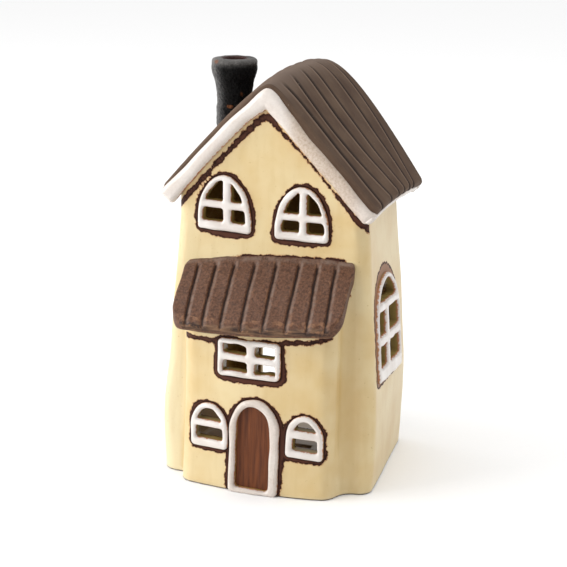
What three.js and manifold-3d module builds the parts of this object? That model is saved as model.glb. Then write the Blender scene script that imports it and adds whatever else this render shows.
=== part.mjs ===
// A glazed earthenware tea light house, built up from clay slabs and strips as a potter lutes them
// together. Millimetres, +Z up, the front door faces -Y, and the origin is the middle of the underside.

import * as THREE from 'three';
import { mergeVertices } from 'three/addons/utils/BufferGeometryUtils.js';
import Module from 'manifold-3d';

const wasm = await Module();
wasm.setup();

// Clay and fit
const wallThickness = 4.5;
const seamGap = 0.3;            // dry gap left between luted pieces
const mitreTrim = seamGap / 2;  // what each of two slabs gives up where they meet on a mitre
const leastCorner = 1;          // no corner of a plan is drawn sharper than this

// Base slab and the four leaning walls
const baseThickness = 5;
const footInset = 1.2;          // how far the bottom arris is rubbed back
const footRise = 1.4;
const footHalfWidth = 52;       // at the front corners, on the table
const bellyHalfWidth = 53;
const bellyHeight = 28;
const eaveHalfWidth = 46.4;
const eaveHeight = 125;
const wallTaperPower = 1.3;     // 1 is a straight taper, more keeps the belly full for longer
const backNarrowing = 5;        // the back corners stand this much further in on each side
const footFrontDepth = 39.8;
const eaveFrontDepth = 35.5;
const footBackDepth = 39.3;
const eaveBackDepth = 37;
const bodyCornerRadius = 7;

// Bay of the two lower storeys
const bayHalfWidth = 37.2;
const bayFootDepth = 52.6;
const bayTopDepth = 51.6;
const bayBow = 2.6;             // how far the middle of the front swells forward
const bayCornerRadius = 6.5;
const bayTopHeight = 100;

// Arch cut through the back wall, to put the tea light in
const backArchHalfWidth = 29;
const backArchHeight = 72;      // above the base slab

// Main roof
const roofHalfSpan = 51.6;
const roofFrontDepth = 38.6;
const roofBackDepth = 40.6;
const ridgeHeight = 189;
const ridgeCrown = 3.4;         // the ridge line swells by this much
const ridgeCrownPlace = 10;
const ridgeCrownReach = 50;
const frontPitch = 1.07;        // fall per millimetre of run
const backPitch = 1.31;
const frontRidgeRound = 3;      // the ridge is sharper at the front than at the back
const backRidgeRound = 12;
const leftSlopeBelly = 2;       // the slope under the chimney swells a little
const roofThickness = 8;
const roofTileCount = 7;
const roofTileStep = 0.9;
const roofEaveRound = 1.6;

// White trim of the roof
const bargeThickness = 1.6;
const bargeDrop = 0.7;          // its top edge lies this far below the tiles
const fasciaWidth = 4;
const fasciaThickness = 2.6;

// Lean-to roof over the bay
const leanTopHeight = 109.5;
const leanLipHeight = 84.5;
const leanLipDepth = 61.5;
const leanHalfWidth = 43;
const leanLipTaper = 0.09;      // share of the width lost from the wall to the lip
const leanThickness = 6;
const leanBulge = 1.2;
const leanDroop = 5.5;          // how far the left end hangs below the right one
const leanLipRadius = 2.3;
const leanCornerRadius = 7;
const leanTileCount = 9;
const leanGrooveDepth = 1.3;
const leanGrooveHalfWidth = 1.1;

// Chimney
const chimneyX = -32.4;
const chimneyY = 3.8;
const chimneyTop = 194.5;
const chimneyNeckRadius = 8.8;
const chimneyFootRadius = 9.2;
const chimneyRimRadius = 10.8;
const chimneyNeckDrop = 14.4;   // the tube is narrowest this far below its top
const chimneyRimRound = 3;      // the rim is rolled to this radius
const flueRadius = 5.5;
const flueMouthBevel = 1;

// Windows and door. Places are centre lines across the front, sills and heads are heights.
const frameProud = 1.8;
const frameStrip = 3;
const glazingBar = 3;
const frameCorner = 2;          // the corners at the sill are rounded off
const upperLeftSillClearance = 10.8;   // between the top of the lean-to and the left sill
const upperRightSillClearance = 8.7;
const upperLeftWindow = { x: -22.1, sill: leanTopHeight + upperLeftSillClearance };
const upperRightWindow = { x: 15.9, sill: leanTopHeight + upperRightSillClearance };
const upperWindowHalfWidth = 13.2;
const upperWindowHeight = 25.2;
const upperWindowCrown = 21;    // the sides start to curve in this far below the head
const centreWindowX = -2.8;
const centreWindowHalfWidth = 15.4;
const centreWindowSill = 56.2;
const centreWindowHead = 74.6;
const centreWindowCorner = 2.6;
const lowerLeftWindow = { x: -23, sill: 20 };
const lowerRightWindow = { x: 24.7, sill: 20 };
const lowerWindowHalfWidth = 9.4;
const lowerWindowHeight = 21.6;
const lowerWindowCrown = 13.5;
const sideWindowY = -2.5;
const sideWindowHalfWidth = 24;
const sideWindowSill = 47.5;
const sideWindowHead = 96.3;
const sideWindowStrip = 4.8;
const sideGlazingBar = 4.2;
const sideWindowLowBar = 66.6;
const sideWindowHighBar = 82.2;
const sideWindowCrown = 26;
const doorX = 0.5;
const doorHalfWidth = 12.4;
const doorHead = 47.3;
const doorFoot = 0.6;
const doorCrown = 15.5;
const doorStrip = 4.3;
const doorProud = 2.2;
const doorRecess = 1.2;
const doorThickness = 3;
const thresholdTop = 4;

// Finishes
const glaze = (colour, roughness) =>
  new THREE.MeshStandardMaterial({ color: colour, roughness, metalness: 0 });
const creamGlaze = glaze(0xe6cf9a, 0.35);
const whiteGlaze = glaze(0xece6df, 0.3);
const brownRoofGlaze = glaze(0x5a4a42, 0.7);
const darkRoofGlaze = glaze(0x59443a, 0.6);
const charcoalGlaze = glaze(0x2b2a2a, 0.75);
const doorGlaze = glaze(0x6e3b26, 0.45);

// How finely curves are stepped
const cornerSteps = 4;
const bowSteps = 8;
const wallSteps = 5;
const roofSteps = 9;
const underSteps = 7;
const leanSteps = 6;
const outlineSteps = 8;
const roundSteps = 32;

const farOut = 3 * roofHalfSpan;

// Solids

// A closed mesh as a solid that can be cut and joined.
function solid(geometry) {
  geometry.deleteAttribute('normal');
  geometry.deleteAttribute('uv');
  const merged = mergeVertices(geometry, 1e-4);
  const triVerts = new Uint32Array(merged.index.array);
  const vertProperties = new Float32Array(merged.attributes.position.array);
  return new wasm.Manifold(new wasm.Mesh({ numProp: 3, vertProperties, triVerts }));
}

// A solid as a named mesh of the model.
function piece(name, body, material) {
  const { vertProperties, triVerts } = body.getMesh();
  const geometry = new THREE.BufferGeometry();
  geometry.setAttribute('position', new THREE.BufferAttribute(new Float32Array(vertProperties), 3));
  geometry.setIndex(new THREE.BufferAttribute(new Uint32Array(triVerts), 1));
  geometry.computeVertexNormals();
  const mesh = new THREE.Mesh(geometry, material);
  mesh.name = name;
  return mesh;
}

// A solid through a row of sections. Each section is a list of [u, v] with as many points as the
// others, and place turns section number and point into a position.
function loft(sections, place) {
  const count = sections[0].length;
  const positions = [];
  sections.forEach((section, row) => section.forEach((point) => positions.push(...place(row, point))));
  const triangles = [];
  for (let row = 0; row + 1 < sections.length; row += 1) {
    for (let i = 0; i < count; i += 1) {
      const a = row * count + i;
      const b = row * count + ((i + 1) % count);
      triangles.push(a, b, b + count, a, b + count, a + count);
    }
  }
  const last = (sections.length - 1) * count;
  const capOf = (section) => {
    const outline = section.map(([u, v]) => new THREE.Vector2(u, v));
    const faces = THREE.ShapeUtils.triangulateShape(outline, []);
    return THREE.ShapeUtils.isClockWise(outline) ? faces.map(([a, b, c]) => [a, c, b]) : faces;
  };
  capOf(sections[0]).forEach(([a, b, c]) => triangles.push(a, c, b));
  capOf(sections.at(-1)).forEach(([a, b, c]) => triangles.push(last + a, last + b, last + c));
  if (enclosedVolume(positions, triangles) < 0) {
    triangles.reverse();
  }
  const geometry = new THREE.BufferGeometry();
  geometry.setAttribute('position', new THREE.Float32BufferAttribute(positions, 3));
  geometry.setIndex(triangles);
  return solid(geometry);
}

function enclosedVolume(positions, triangles) {
  const corner = (index) => new THREE.Vector3(...positions.slice(3 * index, 3 * index + 3));
  let volume = 0;
  for (let i = 0; i < triangles.length; i += 3) {
    const [a, b, c] = [corner(triangles[i]), corner(triangles[i + 1]), corner(triangles[i + 2])];
    volume += a.dot(b.cross(c)) / 6;
  }
  return volume;
}

// Points of an arc, both ends included.
function arc(centre, radius, from, to, steps) {
  return Array.from({ length: steps + 1 }, (_, i) => {
    const angle = from + ((to - from) * i) / steps;
    return [centre[0] + radius * Math.cos(angle), centre[1] + radius * Math.sin(angle)];
  });
}

// Evenly spaced values, both ends included.
function spaced(from, to, steps) {
  return Array.from({ length: steps + 1 }, (_, i) => from + ((to - from) * i) / steps);
}

// Body of the house

function bodyHalfWidth(z) {
  if (z < bellyHeight) {
    const rise = Math.sin((Math.PI / 2) * (z / bellyHeight));
    return footHalfWidth + (bellyHalfWidth - footHalfWidth) * rise;
  }
  const climb = Math.min((z - bellyHeight) / (eaveHeight - bellyHeight), 1);
  return bellyHalfWidth - (bellyHalfWidth - eaveHalfWidth) * climb ** wallTaperPower;
}

const leanBack = (foot, eave, z) => foot + (eave - foot) * Math.min(z / eaveHeight, 1);
const bodyFront = (z) => -leanBack(footFrontDepth, eaveFrontDepth, z);
const bodyBack = (z) => leanBack(footBackDepth, eaveBackDepth, z);

const bodyLevels = [...spaced(bellyHeight, eaveHeight, wallSteps), ridgeHeight + ridgeCrown];
const bayRoot = -wallThickness - eaveFrontDepth / 2;    // how far back the bay runs into the body

// Plan of the body at height z, moved out by grow.
function bodyPlan(z, grow) {
  const radius = Math.max(bodyCornerRadius + grow, leastCorner);
  const front = bodyHalfWidth(z) + grow - radius;
  const back = front - backNarrowing;
  const near = bodyFront(z) - grow + radius;
  const far = bodyBack(z) + grow - radius;
  const quarter = Math.PI / 2;
  return [
    ...arc([-front, near], radius, 2 * quarter, 3 * quarter, cornerSteps),
    ...arc([front, near], radius, 3 * quarter, 4 * quarter, cornerSteps),
    ...arc([back, far], radius, 0, quarter, cornerSteps),
    ...arc([-back, far], radius, quarter, 2 * quarter, cornerSteps),
  ];
}

// Plan of the bay at height z, moved out by grow. It runs back into the body.
function bayPlan(z, grow) {
  const radius = Math.max(bayCornerRadius + grow, leastCorner);
  const side = bayHalfWidth + grow;
  const face = bayTopDepth + (bayFootDepth - bayTopDepth) * (1 - z / bayTopHeight) + grow;
  const quarter = Math.PI / 2;
  const flat = side - radius;
  const bowed = spaced(-flat, flat, bowSteps).slice(1, -1);
  return [
    [-side, bayRoot],
    ...arc([-flat, -face + radius], radius, 2 * quarter, 3 * quarter, cornerSteps),
    ...bowed.map((x) => [x, -face - bayBow * (1 - (x / flat) ** 2)]),
    ...arc([flat, -face + radius], radius, 3 * quarter, 4 * quarter, cornerSteps),
    [side, bayRoot],
  ];
}

function upright(plan, levels, grow) {
  return loft(levels.map((z) => plan(z, grow)), (row, [x, y]) => [x, y, levels[row]]);
}

const bodyBlock = (grow, from) => upright(bodyPlan, [from, ...bodyLevels], grow);
const bayBlock = (grow, from) => upright(bayPlan, [from, bayTopHeight / 2, bayTopHeight], grow);

// The base slab carries everything, bay included. Its bottom arris is rubbed round.
function baseBlock(grow) {
  const levels = [0, footRise, baseThickness + grow];
  const insets = [grow - footInset, grow, grow];
  const through = (plan) =>
    loft(levels.map((z, row) => plan(z, insets[row])), (row, [x, y]) => [x, y, levels[row]]);
  return through(bodyPlan).add(through(bayPlan));
}

// Main roof

// Height of the tiles at x across and y along the ridge.
function roofTop(x, y) {
  const along = (y + roofFrontDepth) / (roofFrontDepth + roofBackDepth);
  const round = frontRidgeRound + (backRidgeRound - frontRidgeRound) * along;
  const pitch = frontPitch + (backPitch - frontPitch) * along;
  const crown = ridgeCrown * (1 - ((y - ridgeCrownPlace) / ridgeCrownReach) ** 2);
  const belly = x < 0 ? leftSlopeBelly * Math.sin(Math.min(-x / roofHalfSpan, 1) * Math.PI) : 0;
  return ridgeHeight + crown + belly - pitch * (Math.hypot(x, round) - round);
}

const roofPitchAngle = Math.atan((frontPitch + backPitch) / 2);
const roofFall = Math.cos(roofPitchAngle);
const roofDrop = roofThickness / roofFall;
const roofHeel = roofHalfSpan - roofThickness * Math.sin(roofPitchAngle);
const rebateInner = roofHeel - fasciaWidth * roofFall;
const underColumns = [...spaced(0, rebateInner, underSteps), roofHeel];
const roofUnderside = (x, y) => roofTop(x, y) - roofDrop;

// Places along the ridge where the roof has a section, and how far the tiles are sunk there. The
// tiles lie as boards from ridge to eave, each standing proud of the next one behind it.
const roofStations = [-roofFrontDepth];
const roofSunk = [0];
for (let tile = 1; tile <= roofTileCount; tile += 1) {
  const end = -roofFrontDepth + (tile * (roofFrontDepth + roofBackDepth)) / roofTileCount;
  roofStations.push(end);
  roofSunk.push(0);
  if (tile < roofTileCount) {
    roofStations.push(end + roofTileStep);
    roofSunk.push(roofTileStep);
  }
}

// The upper side of one slope, from the ridge to the nose of the eave, sunk by drop.
function slopeTop(side, y, drop) {
  const lip = roofHalfSpan - roofEaveRound;
  const nose = roofTop(side * roofHalfSpan, y) - drop / 2 - roofEaveRound;
  return [
    ...spaced(0, lip, roofSteps).map((x) => [side * x, roofTop(side * x, y) - drop]),
    [side * (roofHalfSpan - drop / 2), nose],
  ];
}

// The underside of one slope, from the eave back up to the ridge.
const slopeUnder = (side, y) =>
  underColumns.map((x) => [side * x, roofUnderside(side * x, y)]).reverse();

const alongRidge = (sections, stations) => loft(sections, (row, [x, z]) => [x, stations[row], z]);

// One slope of the roof, rebated along its lower edge for the fascia.
function roofSlope(side) {
  const rise = fasciaThickness / roofFall;
  const shoulder = roofHeel + fasciaThickness * Math.sin(roofPitchAngle);
  const sections = roofStations.map((y, row) => [
    ...slopeTop(side, y, roofSunk[row]),
    [side * shoulder, roofUnderside(side * roofHeel, y) + fasciaThickness * roofFall],
    [side * rebateInner, roofUnderside(side * rebateInner, y) + rise],
    ...slopeUnder(side, y).slice(1),
  ]);
  return alongRidge(sections, roofStations);
}

// Everything above the underside of the roof, with a clearance, to trim the walls with.
function aboveRoofUnderside(clearance) {
  const ends = [-roofFrontDepth - bayFootDepth, roofBackDepth + bayFootDepth];
  const stations = [ends[0], ...roofStations, ends[1]];
  const columns = [...underColumns, farOut];
  const across = [...columns.slice(1).map((x) => -x).reverse(), ...columns];
  const sections = stations.map((place) => {
    const y = Math.min(Math.max(place, -roofFrontDepth), roofBackDepth);
    return [
      ...across.map((x) => [x, roofUnderside(x, y) - clearance]),
      [farOut, 2 * ridgeHeight],
      [-farOut, 2 * ridgeHeight],
    ];
  });
  return alongRidge(sections, stations);
}

// A board along the verge, from the ridge to the eave, on the front or the back end of the roof.
function bargeboard(side, front) {
  const end = front ? -roofFrontDepth : roofBackDepth;
  const outward = front ? -1 : 1;
  const stations = [end + outward * seamGap, end + outward * (seamGap + bargeThickness)];
  const section = [...slopeTop(side, end, bargeDrop), ...slopeUnder(side, end)];
  return alongRidge([section, section], stations);
}

// A strip let into the rebate along the lower edge of the roof.
function eaveFascia(side) {
  const rise = fasciaThickness / roofFall - seamGap;
  const shoulder = roofHeel + (fasciaThickness - seamGap) * Math.sin(roofPitchAngle);
  const inner = rebateInner + seamGap;
  const sections = roofStations.map((y) => {
    const heel = roofUnderside(side * roofHeel, y);
    return [
      [side * inner, roofUnderside(side * inner, y)],
      [side * roofHeel, heel],
      [side * shoulder, heel + (fasciaThickness - 2 * seamGap) * roofFall],
      [side * inner, roofUnderside(side * inner, y) + rise],
    ];
  });
  return alongRidge(sections, roofStations);
}

// Lean-to roof over the bay

const leanWallDepth = leanBack(footFrontDepth, eaveFrontDepth, leanTopHeight);
const leanRun = leanLipDepth - leanWallDepth;
const leanPitchAngle = Math.atan((leanTopHeight - leanLipHeight) / leanRun);
const leanUnderDrop = leanThickness / Math.cos(leanPitchAngle);

// Height of the tiles at a share s of the way from wall to lip.
const leanTop = (s) =>
  leanTopHeight + (leanLipHeight - leanTopHeight) * s + leanBulge * Math.sin(Math.PI * s);

const leanSag = (x) => leanDroop * ((leanHalfWidth - x) / (2 * leanHalfWidth)) ** 2;
const leanUnder = (y) =>
  leanTopHeight - leanUnderDrop - Math.tan(leanPitchAngle) * Math.max(-y - leanWallDepth, 0);

// Section across the lean-to, from deep in the wall over the tiles, round the lip and back under.
function leanSection(drawnIn, groove) {
  const reach = leanRun - drawnIn;
  const lipShare = (reach - leanLipRadius) / leanRun;
  const tiles = spaced(0, lipShare, leanSteps).map(
    (s) => [-leanWallDepth - s * leanRun, leanTop(s) - groove]);
  const lipCentre = [-leanWallDepth - lipShare * leanRun, leanTop(lipShare) - leanLipRadius];
  const lip = arc(lipCentre, leanLipRadius, Math.PI / 2 + leanPitchAngle, Math.PI * 1.5, cornerSteps);
  const back = -leanWallDepth + 2 * wallThickness;
  const throat = lipCentre[0] + leanThickness - leanLipRadius;
  return [
    [back, leanTopHeight],
    ...tiles,
    ...lip,
    [throat, leanUnder(throat)],
    [-leanWallDepth, leanUnder(-leanWallDepth)],
    [back, leanUnder(back)],
  ];
}

function leanToRoof() {
  const tile = (2 * leanHalfWidth) / leanTileCount;
  const stations = [-leanHalfWidth, -leanHalfWidth + leanCornerRadius / 3];
  const grooves = [0, 0];
  for (let i = 1; i < leanTileCount; i += 1) {
    const middle = -leanHalfWidth + i * tile;
    stations.push(middle - leanGrooveHalfWidth, middle, middle + leanGrooveHalfWidth);
    grooves.push(0, leanGrooveDepth, 0);
  }
  stations.push(leanHalfWidth - leanCornerRadius / 3, leanHalfWidth);
  grooves.push(0, 0);
  const sections = stations.map((x, row) => {
    const past = Math.max(Math.abs(x) - (leanHalfWidth - leanCornerRadius), 0) / leanCornerRadius;
    return leanSection(leanCornerRadius * (1 - Math.sqrt(1 - past ** 2)), grooves[row]);
  });
  const narrowed = (x, y) => x * (1 - leanLipTaper * Math.max((-y - leanWallDepth) / leanRun, 0));
  const slab = loft(sections, (row, [y, z]) => {
    const x = stations[row];
    return [narrowed(x, y), y, z - leanSag(x)];
  });
  return slab.subtract(bodyBlock(seamGap, baseThickness));
}

// Everything above the underside of the lean-to, with a clearance, to trim the bay with.
function aboveLeanTo(clearance) {
  const back = -leanWallDepth + 2 * wallThickness;
  const beyond = -leanLipDepth - leanRun;
  const section = [
    [back, leanUnder(back) - clearance],
    [-leanWallDepth, leanUnder(-leanWallDepth) - clearance],
    [beyond, leanUnder(beyond) - clearance],
    [beyond, ridgeHeight],
    [back, ridgeHeight],
  ];
  const stations = spaced(-leanHalfWidth, leanHalfWidth, 2 * leanTileCount);
  const sections = stations.map(() => section);
  return loft(sections, (row, [y, z]) => [stations[row], y, z - leanSag(stations[row])]);
}

// Openings, windows and door

// Outline of an arched light or door: straight sides, then half an ellipse.
function archShape(x, halfWidth, sill, head, crownRise, corner) {
  const shape = new THREE.Shape();
  shape.absarc(x - halfWidth + corner, sill + corner, corner, Math.PI, 1.5 * Math.PI, false);
  shape.absarc(x + halfWidth - corner, sill + corner, corner, 1.5 * Math.PI, 2 * Math.PI, false);
  shape.absellipse(x, head - crownRise, halfWidth, crownRise, 0, Math.PI, false, 0);
  shape.closePath();
  return shape;
}

// Outline of a square light with its corners rounded.
function roundedShape(x, halfWidth, sill, head, radius) {
  const shape = new THREE.Shape();
  shape.moveTo(x - halfWidth + radius, sill);
  shape.lineTo(x + halfWidth - radius, sill);
  shape.absarc(x + halfWidth - radius, sill + radius, radius, -Math.PI / 2, 0, false);
  shape.lineTo(x + halfWidth, head - radius);
  shape.absarc(x + halfWidth - radius, head - radius, radius, 0, Math.PI / 2, false);
  shape.lineTo(x - halfWidth + radius, head);
  shape.absarc(x - halfWidth + radius, head - radius, radius, Math.PI / 2, Math.PI, false);
  shape.lineTo(x - halfWidth, sill + radius);
  shape.absarc(x - halfWidth + radius, sill + radius, radius, Math.PI, 1.5 * Math.PI, false);
  return shape;
}

function pushed(shape, depth) {
  return new THREE.ExtrudeGeometry(shape, { depth, bevelEnabled: false, curveSegments: outlineSteps });
}

// A shape drawn on the front, pushed through from y = -farOut to y = to.
function throughFront(shape, to) {
  const geometry = pushed(shape, farOut + to);
  geometry.rotateX(Math.PI / 2);
  geometry.translate(0, to, 0);
  return solid(geometry);
}

// A shape drawn on the back, pushed out from y = 0.
function throughBack(shape) {
  return throughFront(shape, 0).translate([0, farOut, 0]);
}

// A shape drawn along y on one side, pushed out from the middle plane.
function throughSide(shape, side) {
  const geometry = pushed(shape, farOut);
  const turn = new THREE.Matrix4().set(0, 0, 1, 0, 1, 0, 0, 0, 0, 1, 0, 0, 0, 0, 0, 1);
  geometry.applyMatrix4(turn);
  if (side < 0) {
    geometry.translate(-farOut, 0, 0);
  }
  return solid(geometry);
}

// The cells between the glazing bars, each pushed through the wall by push. Rows and columns are
// given by the middles of the bars, and a whole crown has no bar down through its top row.
function cells({ rows, columns, bar, wholeCrown }, push) {
  const between = (bars) => bars.slice(1).map((next, i) => [bars[i] + bar / 2, next - bar / 2]);
  const lights = between(columns);
  const storeys = between(rows);
  return storeys.flatMap(([low, high], storey) => {
    const undivided = wholeCrown && storey === storeys.length - 1;
    const across = undivided ? [[lights[0][0], lights.at(-1)[1]]] : lights;
    return across.map(([left, right]) =>
      push(roundedShape((left + right) / 2, (right - left) / 2, low, high, bar / 6)));
  });
}

// One window: its outline less the daylight in each cell.
function windowFrame(pane, push) {
  const daylight = push(pane.inside);
  return cells(pane, push).reduce(
    (frame, cell) => frame.subtract(cell.intersect(daylight)), push(pane.outline));
}

// An arched window: its outline, the opening that it fills, the daylight inside its strips, and
// the middles of its bars. Rows and columns start and end half a bar outside the daylight.
function archedWindow({ x, halfWidth, sill, head, crown, strip, bar, barHeights, lights, wholeCrown }) {
  const overlap = strip - bar / 2;
  const room = halfWidth + seamGap;
  const roomCrown = crown + seamGap;
  const daylightCrown = Math.min(crown, head - sill - 2 * strip - frameCorner / 2);
  return {
    outline: archShape(x, halfWidth, sill, head, crown, frameCorner),
    opening: archShape(x, room, sill - seamGap, head + seamGap, roomCrown, frameCorner + seamGap),
    inside: archShape(x, halfWidth - strip, sill + strip, head - strip, daylightCrown, frameCorner / 2),
    rows: [sill + overlap, ...barHeights, head - overlap],
    columns: spaced(x - halfWidth + overlap, x + halfWidth - overlap, lights),
    bar,
    wholeCrown,
  };
}

const upperWindow = ({ x, sill }) => archedWindow({
  x,
  halfWidth: upperWindowHalfWidth,
  sill,
  head: sill + upperWindowHeight,
  crown: upperWindowCrown,
  strip: frameStrip,
  bar: glazingBar,
  barHeights: [sill + (upperWindowHeight - glazingBar) / 2],
  lights: 2,
  wholeCrown: false,
});

const lowerWindow = ({ x, sill }) => archedWindow({
  x,
  halfWidth: lowerWindowHalfWidth,
  sill,
  head: sill + lowerWindowHeight,
  crown: lowerWindowCrown,
  strip: frameStrip,
  bar: glazingBar,
  barHeights: [sill + lowerWindowHeight / 2],
  lights: 1,
  wholeCrown: true,
});

const sideWindow = archedWindow({
  x: sideWindowY,
  halfWidth: sideWindowHalfWidth,
  sill: sideWindowSill,
  head: sideWindowHead,
  crown: sideWindowCrown,
  strip: sideWindowStrip,
  bar: sideGlazingBar,
  barHeights: [sideWindowLowBar, sideWindowHighBar],
  lights: 2,
  wholeCrown: true,
});

const centreOverlap = frameStrip - glazingBar / 2;
const centreWindow = {
  outline: roundedShape(
    centreWindowX, centreWindowHalfWidth, centreWindowSill, centreWindowHead, centreWindowCorner),
  opening: roundedShape(
    centreWindowX, centreWindowHalfWidth + seamGap, centreWindowSill - seamGap,
    centreWindowHead + seamGap, centreWindowCorner + seamGap),
  inside: roundedShape(
    centreWindowX, centreWindowHalfWidth - frameStrip, centreWindowSill + frameStrip,
    centreWindowHead - frameStrip, centreWindowCorner / 2),
  rows: spaced(centreWindowSill + centreOverlap, centreWindowHead - centreOverlap, 2),
  columns: spaced(
    centreWindowX - centreWindowHalfWidth + centreOverlap,
    centreWindowX + centreWindowHalfWidth - centreOverlap, 2),
  bar: glazingBar,
  wholeCrown: false,
};

const doorOpening = archShape(
  doorX, doorHalfWidth + seamGap, doorFoot - seamGap, doorHead + seamGap, doorCrown + seamGap,
  frameCorner + seamGap);
const doorOutline = archShape(doorX, doorHalfWidth, doorFoot, doorHead, doorCrown, frameCorner);
const panelHalfWidth = doorHalfWidth - doorStrip;
const panelHole = archShape(
  doorX, panelHalfWidth, thresholdTop, doorHead - doorStrip, doorCrown - doorStrip, frameCorner);
const panelOutline = archShape(
  doorX, panelHalfWidth - seamGap, baseThickness + seamGap, doorHead - doorStrip - seamGap,
  doorCrown - doorStrip - seamGap, frameCorner / 2);

const pushFront = (shape) => throughFront(shape, bayRoot);
const pushBay = (shape) => throughFront(shape, 2 * wallThickness - bayTopDepth);
const pushSide = (side) => (shape) => throughSide(shape, side);

// Walls

const bodyOutside = bodyBlock(0, baseThickness);
const bodyInside = bodyBlock(-wallThickness, baseThickness);
const roofTrim = aboveRoofUnderside(seamGap);
const bodyShell = bodyOutside.subtract(bodyInside).subtract(roofTrim);

// The part of the plan that the front or the back wall takes, out to the mitres at its two corners.
// The corner is given at the belly. A positive trim draws the mitres in, a negative one lets them out.
function endWedge(cornerX, cornerY, trim) {
  const reach = bodyCornerRadius + wallThickness;
  const alongMitre = (step) =>
    [cornerX + step - trim * Math.SQRT2, cornerY + Math.sign(cornerY) * step];
  const [outerX, outerY] = alongMitre(reach);
  const [innerX, innerY] = alongMitre(-reach);
  const plan = [[-outerX, outerY], [outerX, outerY], [innerX, innerY], [-innerX, innerY]];
  const levels = [baseThickness, 2 * ridgeHeight];
  return loft([plan, plan], (row, [x, y]) => [x, y, levels[row]]);
}

const frontWedge = (trim) => endWedge(bellyHalfWidth, -footFrontDepth, trim);
const backWedge = (trim) => endWedge(bellyHalfWidth - backNarrowing, footBackDepth, trim);

// Everything on the other side of the middle plane.
function otherHalf(side) {
  const block = new THREE.BoxGeometry(farOut, farOut, 2 * farOut);
  block.translate((-side * farOut) / 2, 0, farOut);
  return solid(block);
}

function frontWall() {
  const head = leanUnder(-leanWallDepth) - leanDroop - wallThickness;
  const wayIntoBay = roundedShape(0, bayHalfWidth - wallThickness, 0, head, frameCorner);
  const wall = bodyShell.intersect(frontWedge(mitreTrim)).subtract(pushFront(wayIntoBay));
  return [upperLeftWindow, upperRightWindow].reduce(
    (cut, place) => cut.subtract(pushFront(upperWindow(place).opening)), wall);
}

function backWall() {
  const arch = archShape(
    0, backArchHalfWidth, -frameCorner, baseThickness + backArchHeight, backArchHalfWidth, frameCorner);
  return bodyShell.intersect(backWedge(mitreTrim)).subtract(throughBack(arch));
}

// The side walls are what the front and back walls leave.
function sideWall(side) {
  const wall = bodyShell.subtract(frontWedge(-mitreTrim)).subtract(backWedge(-mitreTrim));
  return wall.subtract(otherHalf(side)).subtract(pushSide(side)(sideWindow.opening));
}

function bayWall() {
  const shell = bayBlock(0, baseThickness).subtract(bayBlock(-wallThickness, 0));
  const trimmed = shell.subtract(bodyBlock(seamGap, 0)).subtract(aboveLeanTo(seamGap));
  const windows = [centreWindow, lowerWindow(lowerLeftWindow), lowerWindow(lowerRightWindow)];
  const openings = [...windows.map(({ opening }) => opening), doorOpening];
  return openings.reduce((wall, shape) => wall.subtract(pushBay(shape)), trimmed);
}

// Window frames fill their openings through the wall and stand proud of it.
const frontLayer = bodyBlock(frameProud, baseThickness).subtract(bodyInside).subtract(roofTrim);
const bayLayer = bayBlock(frameProud, 0).subtract(bayBlock(-wallThickness, -1));
const inFrontWall = (pane) => windowFrame(pane, pushFront).intersect(frontLayer);
const inBayWall = (pane) => windowFrame(pane, pushBay).intersect(bayLayer);
const inSideWall = (side) => windowFrame(sideWindow, pushSide(side)).intersect(frontLayer);

function doorSurround() {
  const layer = bayBlock(doorProud, 0).subtract(bayBlock(-wallThickness, -1));
  const ring = pushBay(doorOutline).subtract(pushBay(panelHole));
  return ring.intersect(layer).subtract(baseBlock(seamGap));
}

function doorPanel() {
  const layer = bayBlock(-doorRecess, 0).subtract(bayBlock(-doorRecess - doorThickness, -1));
  return pushBay(panelOutline).intersect(layer);
}

// Chimney: a thrown tube with a rolled rim, its foot cut to the pitch of the roof.
function chimney() {
  const foot = roofTop(chimneyX - chimneyFootRadius, chimneyY) - chimneyFootRadius;
  const rimCentre = [chimneyRimRadius - chimneyRimRound, chimneyTop - chimneyRimRound];
  const profile = [
    [flueRadius, foot],
    [chimneyFootRadius, foot],
    [chimneyNeckRadius, chimneyTop - chimneyNeckDrop],
    ...arc(rimCentre, chimneyRimRound, -Math.PI / 4, Math.PI / 2, cornerSteps),
    [flueRadius + flueMouthBevel, chimneyTop],
    [flueRadius, chimneyTop - flueMouthBevel],
    [flueRadius, foot],
  ].map(([r, z]) => new THREE.Vector2(r, z));
  const geometry = new THREE.LatheGeometry(profile, roundSteps);
  geometry.rotateX(Math.PI / 2);
  const below = roofStations.map((y, row) => [
    ...slopeTop(-1, y, roofSunk[row] - seamGap),
    [-roofHalfSpan, 0],
    [0, 0],
  ]);
  return solid(geometry).translate([chimneyX, chimneyY, 0]).subtract(alongRidge(below, roofStations));
}

function flueHole() {
  const height = 2 * roofDrop + 4 * flueRadius;
  const geometry = new THREE.CylinderGeometry(flueRadius, flueRadius, height, roundSteps);
  geometry.rotateX(Math.PI / 2);
  return solid(geometry).translate([chimneyX, chimneyY, roofUnderside(chimneyX, chimneyY)]);
}

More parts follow.
